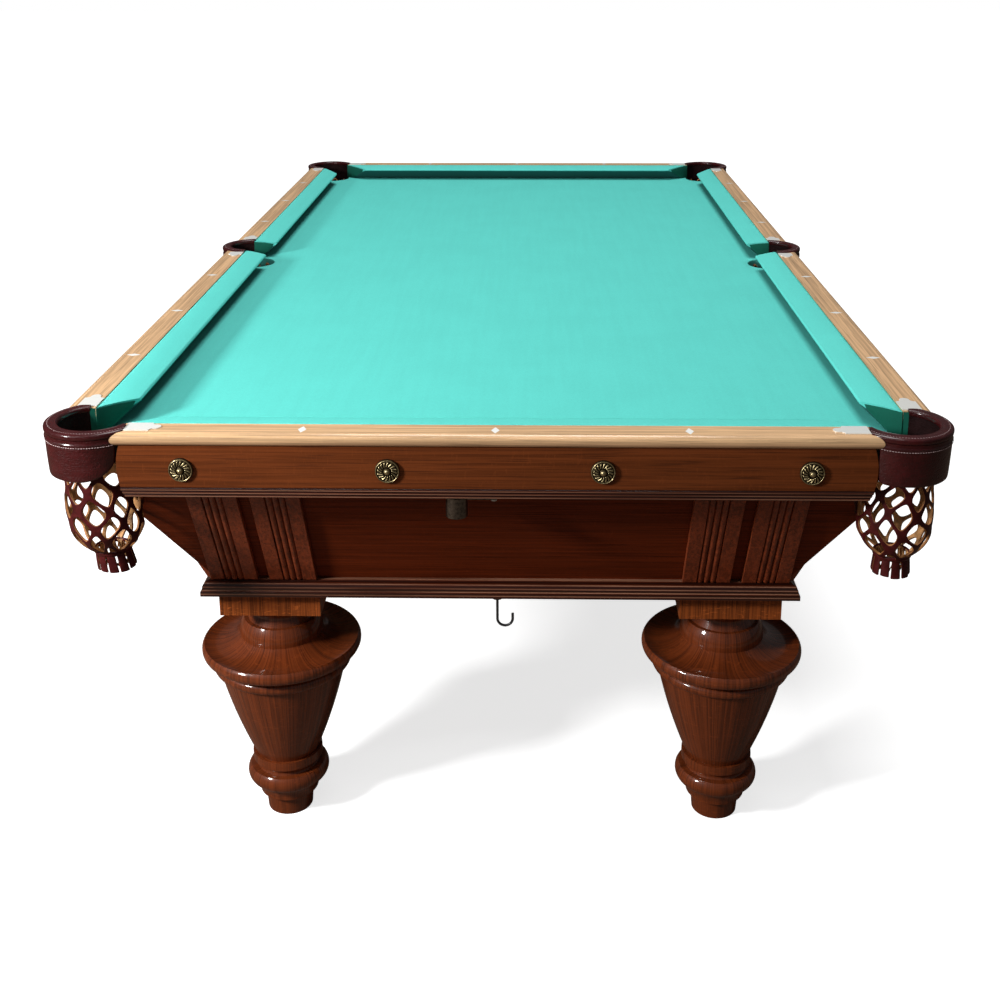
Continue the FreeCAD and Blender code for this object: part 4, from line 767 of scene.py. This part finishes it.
def stitches(radius, z, corner, reach, pitch, lean=0.0):
    """Small stitches round a ring: flattened ellipsoids with their long axis along the ring.

    lean turns each stitch about the vertical, as on an overcast seam.
    """
    grids = []
    stop = float(corner_stop(np.array(radius), reach) if corner else middle_stop(np.array(radius), reach))
    full = 1.5 * math.pi if corner else math.pi
    count = int(radius * (full - 2 * stop) / pitch)
    angle = -stop - (np.arange(count) + 0.5) / count * (full - 2 * stop)
    lat = np.linspace(-math.pi / 2, math.pi / 2, 5)[:, None]
    lon = np.linspace(0, 2 * np.pi, 6, endpoint=False)[None]
    ball = np.stack([np.sin(lat) + 0 * lon, np.cos(lat) * np.cos(lon), np.cos(lat) * np.sin(lon)], -1)
    c, s = math.cos(lean), math.sin(lean)
    ball = (ball * STITCH_HALF) @ np.array([[c, s, 0], [-s, c, 0], [0, 0, 1]])
    for a in angle:
        tangent = np.array([-math.sin(a), math.cos(a), 0])
        outward = np.array([math.cos(a), math.sin(a), 0])
        frame_of = np.stack([tangent, outward, np.array([0, 0, 1.0])])
        grids.append(ball @ frame_of + outward * radius + [0, 0, z])
    return grids


# Jaw facings. The outline is a way out from the nose line and a drop, the slab a plan at a corner.
FACING_OUTLINE = np.array([
    [0.0070, 0.0090],
    [0.0280, 0.0048],
    [0.0518, 0.0020],
    [0.0524, 0.0200],
    [0.0524, 0.0414],
    [0.0372, 0.0414],
    [0.0260, 0.0312],
    [0.0100, 0.0158],
])
FACING_LAYERS = ((0.0002, 1.0), (0.0012, 1.0), (0.0015, 0.97))
SLAB_PLAN = np.array([[0.0536, -0.0155], [0.0500, -0.0246], [0.0514, -0.0250], [0.0572, -0.0165]])
SLAB_DROPS = np.array([0.0502, 0.0420, 0.0300, 0.0180, 0.0060, 0.0022, 0.0014])


def make_jaw_facings():
    """Cloth-covered facings that close each jaw as far as the pocket leather, their cloth a dark green that
    is painted shade.

    One slab lies on the end of each cushion and of the rail behind it: its layers stand proud of
    the jaw's slant, and the outer one is drawn in. At the corners an upright slab goes on from the
    jaw's back corner to the inner corner of the leather.
    """
    piece = Piece("jaw_facings")
    out = FACING_OUTLINE[:, 0]
    middle = FACING_OUTLINE.mean(axis=0)
    for kind, angle in RAILS.values():
        nose = HALF_L if kind == "end" else HALF_W
        for pick, sign in ((0, -1), (1, 1)):
            along = rail_span(kind, out)[pick]
            slope = (along[2] - along[0]) / (out[2] - out[0])
            normal = sign * np.array([1, -slope]) / math.hypot(1, slope)
            layers = []
            for proud, shrink in FACING_LAYERS:
                face = middle + (FACING_OUTLINE - middle) * shrink
                reach = rail_span(kind, face[:, 0])[pick] + normal[0] * proud
                depth = -(nose + face[:, 0] + normal[1] * proud)
                layers.append(np.stack([reach, depth, TOP - face[:, 1]], -1))
            piece.add(turned(np.stack(layers), angle), wrap_v=True, ends=True)
    for where in CORNERS:
        for plan in (SLAB_PLAN, SLAB_PLAN[:, ::-1]):
            ring = np.concatenate([plan, plan[:1]])
            way = np.linspace(0, 4, 16, endpoint=False)
            x = np.interp(way, np.arange(5), ring[:, 0])
            y = np.interp(way, np.arange(5), ring[:, 1])
            grid = np.stack(np.broadcast_arrays(x, y, TOP - SLAB_DROPS[:, None]), -1)
            piece.add(set_pocket(grid, where), wrap_v=True, ends=True)
    # The facings take the darker cloth of painted shade.
    piece.make(finish["facing"])


def make_pocket_leather(where):
    """Rolled rim, skirt, inner lining, two rows of stitches and the piping of the hole's edge."""
    corner = where in CORNERS
    hole, ring = (CORNER_HOLE, CORNER_RING) if corner else (SIDE_HOLE, SIDE_RING)
    reach = CORNER_REACH if corner else ring
    skirt_reach = CORNER_SKIRT if corner else SIDE_SKIRT
    name = "pocket_leather_" + where
    piece = Piece(name + "_shaped")
    piece.add(set_pocket(swept_ring(rim_section(hole, ring), corner, reach), where), wrap_v=True, ends=True)
    run, rise = SKIRT_CORNERS.get(where, SKIRT_CORNER)
    skirt = swept_ring(skirt_section(ring), corner, skirt_reach, 145, run, rise)
    piece.add(set_pocket(skirt, where), wrap_v=True, ends=True)
    piece.make(finish["leather"], replaces=[name])
    lining = Piece("pocket_lining_" + where)
    inner, outer = hole + 0.0012, hole + 0.0043
    foot = TOP - LINING_DEPTH
    tube = np.array([[inner, TOP - 0.006], [outer, TOP - 0.007], [outer, foot], [inner, foot]])
    lining.add(set_pocket(swept_ring(tube, corner, reach), where), wrap_v=True, ends=True)
    lining.make(finish["lining"])
    thread = Piece("pocket_stitches_" + where)
    rim_row = stitches(ring - 0.0065, TOP + 0.0025, corner, reach, RIM_PITCH, 0.5)
    seam_row = stitches(ring - 0.0004, TOP - SEAM_DROP, corner, skirt_reach, SEAM_PITCH)
    for grid in rim_row + seam_row:
        thread.add(set_pocket(grid, where), wrap_v=True)
    thread.make(finish["thread"])
    piping = Piece("pocket_piping_" + where)
    roll = closed_loop(*PIPING_HALF, 2, 10) + [hole + 0.0030, TOP + 0.0022]
    piping.add(set_pocket(swept_ring(roll, corner, reach), where), wrap_v=True, ends=True)
    piping.make(finish["leather"])


# Strap nets
NET_POINTS = (
    (0.0, 0.96),
    (0.22, 1.0),
    (0.42, 1.036),
    (0.6, 1.07),
    (0.72, 1.036),
    (0.82, 0.95),
    (0.91, 0.76),
    (1.0, 0.49),
)
NET_COUNT = 8
NET_ROWS = 5
NET_DEPTH = NET_FOOT - NET_NECK
LEATHER_HALF = 0.0020
OPENING_SHARE = 0.74
OPENING_POWER = 1.18
GATHER = 0.49
TABS = 11
TAB_LENGTH = 0.0325
TAB_THICK = 0.0026
NET_LEANS = {"near_left": (0.011, 0.0)}
NET_SEED = 11
FACE_UV, EDGE_UV, BACK_UV = 0.1, 0.6, 0.9


def net_radius(hole, s):
    """Outer radius of the bag at share s of the way from its neck to its gather.

    It is the line through NET_POINTS, each a share of the way and a share of the hole's radius,
    smoothed by a running mean.
    """
    shares, radii = np.array(NET_POINTS).T
    fine = np.linspace(0, 1, 201)
    line = np.interp(fine, shares, radii * hole)
    kernel = np.hanning(25)
    kernel /= kernel.sum()
    longer = np.concatenate([2 * line[0] - line[12:0:-1], line, 2 * line[-1] - line[-2:-14:-1]])
    return np.interp(s, fine, np.convolve(longer, kernel, "valid"))


def net_surface(hole, angle, s, depth, phase):
    """Points of the bag at an angle and a share s from neck to foot, moved out by a depth.

    Slow waves in the angle and in s make the openings uneven, as stretched leather is. The bag goes
    on straight above its neck and below its foot.
    """
    pull = 0.085 * np.sin(2 * angle + 7 * s + phase[0]) + 0.05 * np.sin(3 * angle - 9 * s + phase[1])
    sag = 0.026 * np.sin(3 * angle + 5 * s + phase[2]) * np.sin(math.pi * np.clip(s, 0, 1))
    inside = np.clip(s, 0, 1)
    step = 0.01
    radius = net_radius(hole, inside) - LEATHER_HALF - 0.0031 * np.clip((s - 1) / 0.02, 0, 1)
    below = net_radius(hole, np.clip(s + step, 0, 1))
    above = net_radius(hole, np.clip(s - step, 0, 1))
    slope = (below - above) / (2 * step) / NET_DEPTH
    length = np.sqrt(1 + slope ** 2)
    out = radius + depth / length
    height = TOP - NET_NECK - NET_DEPTH * (s + sag) + depth * slope / length
    return np.stack([out * np.cos(angle + pull), out * np.sin(angle + pull), height], -1)


def make_net(where, seed):
    """Cut-leather net: one bag with rows of diamond openings, a tie at its foot and a fringe.

    Each cell is a diamond |a| + |b| = 1. Its opening is a rounded diamond, where |a| and |b| to the
    power OPENING_POWER sum to OPENING_SHARE to that power. The section runs from the cell's edge in
    over the back, round the cut and out over the face.
    """
    hole = CORNER_HOLE if where in CORNERS else SIDE_HOLE
    rng = np.random.default_rng(seed)
    phase = rng.uniform(0, 2 * math.pi, 3)
    t = np.linspace(0, 2 * np.pi, 12, endpoint=False)
    a, b = np.cos(t), np.sin(t)
    edge = 1 / (np.abs(a) + np.abs(b))
    cut = OPENING_SHARE / (np.abs(a) ** OPENING_POWER + np.abs(b) ** OPENING_POWER) ** (1 / OPENING_POWER)
    share = np.array([1.0, 0.4, 0.05, 0.0, 0.0, 0.05, 0.4, 1.0])[:, None]
    depth = np.array([-1.0, -1.0, -0.9, -0.5, 0.5, 0.95, 1.15, 1.0])[:, None] * LEATHER_HALF
    side = np.array([0.95, 0.95, 0.8, 0.6, 0.55, 0.25, 0.1, 0.1])[:, None]
    reach = cut + (edge - cut) * share
    uv = np.stack(np.broadcast_arrays(t[None] / 7, side + 0 * reach), -1)
    piece = Piece("pocket_net_" + where + "_straps")
    lean = np.array(NET_LEANS.get(where, (0.0, 0.0)))

    def hang(grid):
        """Puts a shape of the net in its place, leaning with the square of its depth."""
        fall = np.clip((TOP - NET_NECK - grid[..., 2:]) / NET_DEPTH, 0, None)
        grid = set_pocket(grid, where)
        return np.concatenate([grid[..., :2] + lean * fall ** 2, grid[..., 2:]], -1)

    for row in range(NET_ROWS + 1):
        for column in range(NET_COUNT):
            angle = (2 * column + row % 2 + a * reach) * math.pi / NET_COUNT
            s = (row + b * reach) / NET_ROWS
            grid = hang(net_surface(hole, angle, s, depth, phase))
            piece.add(grid, wrap_v=True, uv=uv)
            if row == 0:
                border = grid[[0, -1]][:, np.r_[6:12, 0]]
                piece.add(border, uv=np.full((2, 7, 2), FACE_UV))
            if row == NET_ROWS:
                piece.add(grid[[0, -1]][:, 0:7], uv=np.full((2, 7, 2), EDGE_UV))
    around = np.linspace(0, 2 * np.pi, 48, endpoint=False)[:, None]
    tie_r = hole * GATHER + 0.0005 + 0.0026 * np.cos(t)
    tie_z = TOP - NET_FOOT + 0.0040 * np.sin(t) + 0 * around
    tie = np.stack([tie_r * np.cos(around), tie_r * np.sin(around), tie_z], -1)
    piece.add(hang(tie), wrap_u=True, wrap_v=True, uv=np.full((48, 12, 2), FACE_UV))
    drop = np.array([0, 0.05, 0.3, 0.6, 0.85, 0.97, 1.0])[:, None]
    half = math.pi / TABS * 0.88
    spread = np.concatenate([np.linspace(-half, half, 6), np.linspace(half, -half, 6)])
    back = np.repeat([0.0, TAB_THICK], 6)
    uv = np.stack(np.broadcast_arrays(drop, np.where(back > 0, BACK_UV, FACE_UV)), -1)
    for number in range(TABS):
        flare = rng.uniform(-0.0008, 0.0010)
        r = hole * GATHER + (hole * 0.07 + flare) * drop ** 0.7 - back
        angle = 2 * math.pi * (number + 0.5) / TABS + spread * (0.96 + 0.04 * drop)
        height = TOP - NET_FOOT + 0.002 - (TAB_LENGTH + flare) * drop + 0 * spread
        grid = np.stack([r * np.cos(angle), r * np.sin(angle), height], -1)
        piece.add(hang(grid), wrap_v=True, ends=True, uv=uv)
    piece.make(finish["strap"], replaces=["pocket_net_" + where], merge=1e-5, crease=0, rounds=1)


# Rosette caps. Their places are shares of half the rail's length.
END_SHARES = (0.278, 0.813)
SIDE_SHARES = (0.17, 0.5, 0.83)
ROSETTE_RADIUS = 0.0188
PETALS = 16


def make_rosettes():
    """Cast rosettes: a raised outer ring, sixteen spiral petals and a domed boss.

    Height at share q of the radius: the boss is a part ellipse and the ring a bell curve of q, and
    the petals are a wave in the angle that leans with q.
    """
    q = np.concatenate([np.linspace(0, 0.3, 8), np.linspace(0.33, 0.8, 14), np.linspace(0.82, 1.0, 10)])
    q = q[:, None]
    t = np.linspace(0, 2 * np.pi, 96, endpoint=False)[None]
    wave = np.cos(PETALS * (t + 0.55 * q / 0.8))
    petal = np.clip((q - 0.34) / 0.08, 0, 1) * np.clip((0.84 - q) / 0.08, 0, 1)
    boss = np.sqrt(np.clip(1 - (q / 0.27) ** 2, 0, 1))
    ring = np.exp(-((q - 0.915) / 0.055) ** 2)
    height = 0.0030 + 0.0022 * (1 - q) + 0.0052 * boss + 0.0019 * ring + petal * (0.0016 + 0.0013 * wave)
    height = height * np.clip((1.0 - q) / 0.012 + 0.35, 0, 1)
    relief = np.clip(0.25 + 0.6 * boss + 0.6 * ring + petal * (0.28 + 0.42 * wave), 0, 1)
    reach = ROSETTE_RADIUS * np.concatenate([q, [[1.0], [0.0]]])
    height = np.concatenate([height * np.ones_like(t), np.zeros((2, t.size))])
    relief = np.concatenate([relief * np.ones_like(t), np.zeros((2, t.size))])
    disc = np.stack([reach * np.cos(t), -height, reach * np.sin(t)], -1)
    uv = np.stack([relief, np.zeros_like(relief)], -1)
    piece = Piece("rosettes_cast")
    for kind, angle in RAILS.values():
        nose = HALF_L if kind == "end" else HALF_W
        if kind == "end":
            spots = [sign * HALF_W * share for sign in (-1, 1) for share in END_SHARES]
        else:
            spots = [(1 if kind == "plus" else -1) * HALF_L * share for share in SIDE_SHARES]
        for x in spots:
            grid = moved(disc, x, -(nose + FACE_OUT), TOP - BOLT_DROP)
            piece.add(turned(grid, angle), wrap_v=True, uv=uv)
    piece.make(finish["brass"], replaces=["rosette_caps"], crease=75)


# Pilaster boards
BOARD_HALF = 0.040
BOARD_THICK = 0.011
BOARD_DROPS = (0.1055, 0.3335)
BOARD_INSETS = (HALF_W - 0.450, HALF_W - 0.350)
REEDS_HALF = 0.016
REED_HOLLOW = 0.0060
REED_ROUND = 0.0052


def panel_out(drop):
    """How far the canted panel's face stands out from the nose line at a drop."""
    slope = (PANEL_TOP[0] - PANEL_FOOT[0]) / (PANEL_FOOT[1] - PANEL_TOP[1])
    return PANEL_TOP[0] - (drop - PANEL_TOP[1]) * slope


def make_pilasters():
    """Boards with three round reeds: the face's depth is a half circle over each reed's width."""
    flat = np.array([-BOARD_HALF, 0.0005 - BOARD_HALF, -0.001 - REEDS_HALF])
    reeds = np.linspace(-REEDS_HALF, REEDS_HALF, 61)
    place = (reeds + REEDS_HALF) / (2 * REEDS_HALF) * 3
    part = place - np.clip(np.floor(place), 0, 2)
    bulge = np.sqrt(np.clip(1 - (2 * part - 1) ** 2 / 0.94, 0, 1))
    plane = np.array([BOARD_THICK - 0.0007, BOARD_THICK, BOARD_THICK])
    depth = np.concatenate([plane, REED_HOLLOW + REED_ROUND * bulge, plane[::-1]])
    across = np.concatenate([flat, reeds, -flat[::-1], [BOARD_HALF, -BOARD_HALF]])
    out = np.concatenate([depth, [0.0004, 0.0004]])
    drop = np.linspace(*BOARD_DROPS, 12)[:, None]
    piece = Piece("pilaster_boards")
    for angle in (0, 180, -90, 90):
        half_along, half_across = (HALF_L, HALF_W) if abs(angle) == 90 else (HALF_W, HALF_L)
        for inset in BOARD_INSETS:
            for sign in (-1, 1):
                middle = (half_along - inset) * sign
                y = -(half_across + panel_out(drop) + out[None])
                grid = np.stack(np.broadcast_arrays(middle + across[None], y, TOP - drop), -1)
                piece.add(turned(grid, angle), wrap_v=True, ends=True)
    piece.make(finish["board"], replaces=["pilasters"])


make_bed_cloth()
make_cushion_cloths()
make_jaw_facings()
for number, where in enumerate(list(CORNERS) + list(MIDDLES)):
    make_pocket_leather(where)
    make_net(where, NET_SEED + number)
make_rosettes()
make_pilasters()


# Floor, light and camera
GLOW_REACH = (1.8, 5.5)
NEAR_GLOW = 0.73
FLOOR_HALF = 30
SEEN_LIGHT = 1.0
SHADE_LIGHT = 0.13


def floor_paint():
    """Pale paint with a glow of its own, which shows but throws no light on the table.

    The glow is full beyond the reach of the lights, so the floor stays as pale as the surroundings.
    Light that isn't on its way to the camera meets a dark warm floor, as the photo's shade is dark.
    """
    shade = Shade("pale_floor", Specular_IOR_Level=0.0, Emission_Strength=1.0)
    away = shade.node("ShaderNodeVectorMath", {"operation": "LENGTH"}, {0: shade.place()}, out=1)
    near, far = colour(NEAR_GLOW, NEAR_GLOW, NEAR_GLOW), colour(1, 1, 1)
    shade.into("Emission Color", shade.mix(shade.band(away, *GLOW_REACH), near, far))
    speck = shade.noise(shade.place(), 2.0, 3, 0.5)
    shade.into("Base Color", shade.mix(speck * 0.04, colour(0.78, 0.78, 0.78), colour(0.7, 0.7, 0.7)))
    shade.into("Roughness", 0.8 + speck * 0.05)
    unlit = shade.tree.nodes.new("ShaderNodeBsdfDiffuse")
    warm = shade.mix(speck * 0.1, colour(0.20, 0.155, 0.12), colour(0.15, 0.12, 0.10))
    shade.feed(unlit.inputs["Color"], warm)
    blend = shade.tree.nodes.new("ShaderNodeMixShader")
    seen = shade.node("ShaderNodeLightPath", {}, {}, out="Is Camera Ray")
    shade.feed(blend.inputs[0], seen)
    shade.tree.links.new(unlit.outputs[0], blend.inputs[1])
    shade.tree.links.new(shade.surface.outputs[0], blend.inputs[2])
    shade.tree.links.new(blend.outputs[0], shade.tree.nodes["Material Output"].inputs["Surface"])
    return shade.material


def make_floor():
    mesh = bpy.data.meshes.new("floor")
    corners = [(x * FLOOR_HALF, y * FLOOR_HALF, 0) for x, y in ((-1, -1), (1, -1), (1, 1), (-1, 1))]
    mesh.from_pydata(corners, [], [(0, 1, 2, 3)])
    floor = bpy.data.objects.new("floor", mesh)
    bpy.context.scene.collection.objects.link(floor)
    mesh.materials.append(floor_paint())


def add_light(name, place, size, power, aim):
    """A rectangle of light. Its back is the way from its aim, and its sides are square to that."""
    lamp = bpy.data.lights.new(name, "AREA")
    lamp.shape = "RECTANGLE"
    lamp.size, lamp.size_y = size
    lamp.energy = power
    obj = bpy.data.objects.new(name, lamp)
    bpy.context.scene.collection.objects.link(obj)
    way = np.array(aim, float) - np.array(place, float)
    back = -way / np.linalg.norm(way)
    side = np.cross([0, 1, 0], back)
    side /= np.linalg.norm(side)
    up = np.cross(back, side)
    obj.matrix_world = Matrix([[side[i], up[i], back[i], place[i]] for i in range(3)] + [[0, 0, 0, 1]])


def make_world():
    """White surroundings that show as the far floor does, and light the shade only a little."""
    world = bpy.data.worlds.new("studio")
    world.use_nodes = True
    tree = world.node_tree
    path = tree.nodes.new("ShaderNodeLightPath")
    strength = tree.nodes.new("ShaderNodeMapRange")
    strength.inputs["To Min"].default_value = SHADE_LIGHT
    strength.inputs["To Max"].default_value = SEEN_LIGHT
    tree.links.new(path.outputs["Is Camera Ray"], strength.inputs["Value"])
    tree.nodes["Background"].inputs["Color"].default_value = colour(1.0, 1.0, 1.0)
    tree.links.new(strength.outputs[0], tree.nodes["Background"].inputs["Strength"])
    bpy.context.scene.world = world


make_floor()
make_world()
bpy.context.scene.view_settings.view_transform = "Standard"
add_light("overhead", (0.0, 0.4, 5.2), size=(2.0, 2.8), power=165, aim=(0, 0.4, 0.8))
add_light("key_left", (-1.95, -2.25, 1.65), size=(0.34, 0.34), power=74, aim=(-0.3, -0.8, 0.7))
add_light("strip_front", (-0.8, -2.7, 2.9), size=(2.8, 0.06), power=12, aim=(-0.3, -1.2, 0.7))

camera = bpy.data.cameras.new("camera")
camera.lens = 46.30
camera.shift_x = -0.0094
camera.shift_y = -0.20
holder = bpy.data.objects.new("camera", camera)
bpy.context.scene.collection.objects.link(holder)
RIGHT = (0.9998233, 0.0187084, -0.0018598)
DOWN = (0.0031519, -0.2643229, -0.9644291)
AHEAD = (-0.0185346, 0.9642528, -0.2643352)
EYE = (0.05669, -3.06855, 1.54589)
holder.matrix_world = Matrix([[RIGHT[i], -DOWN[i], -AHEAD[i], EYE[i]] for i in range(3)] + [[0, 0, 0, 1]])
bpy.context.scene.camera = holder
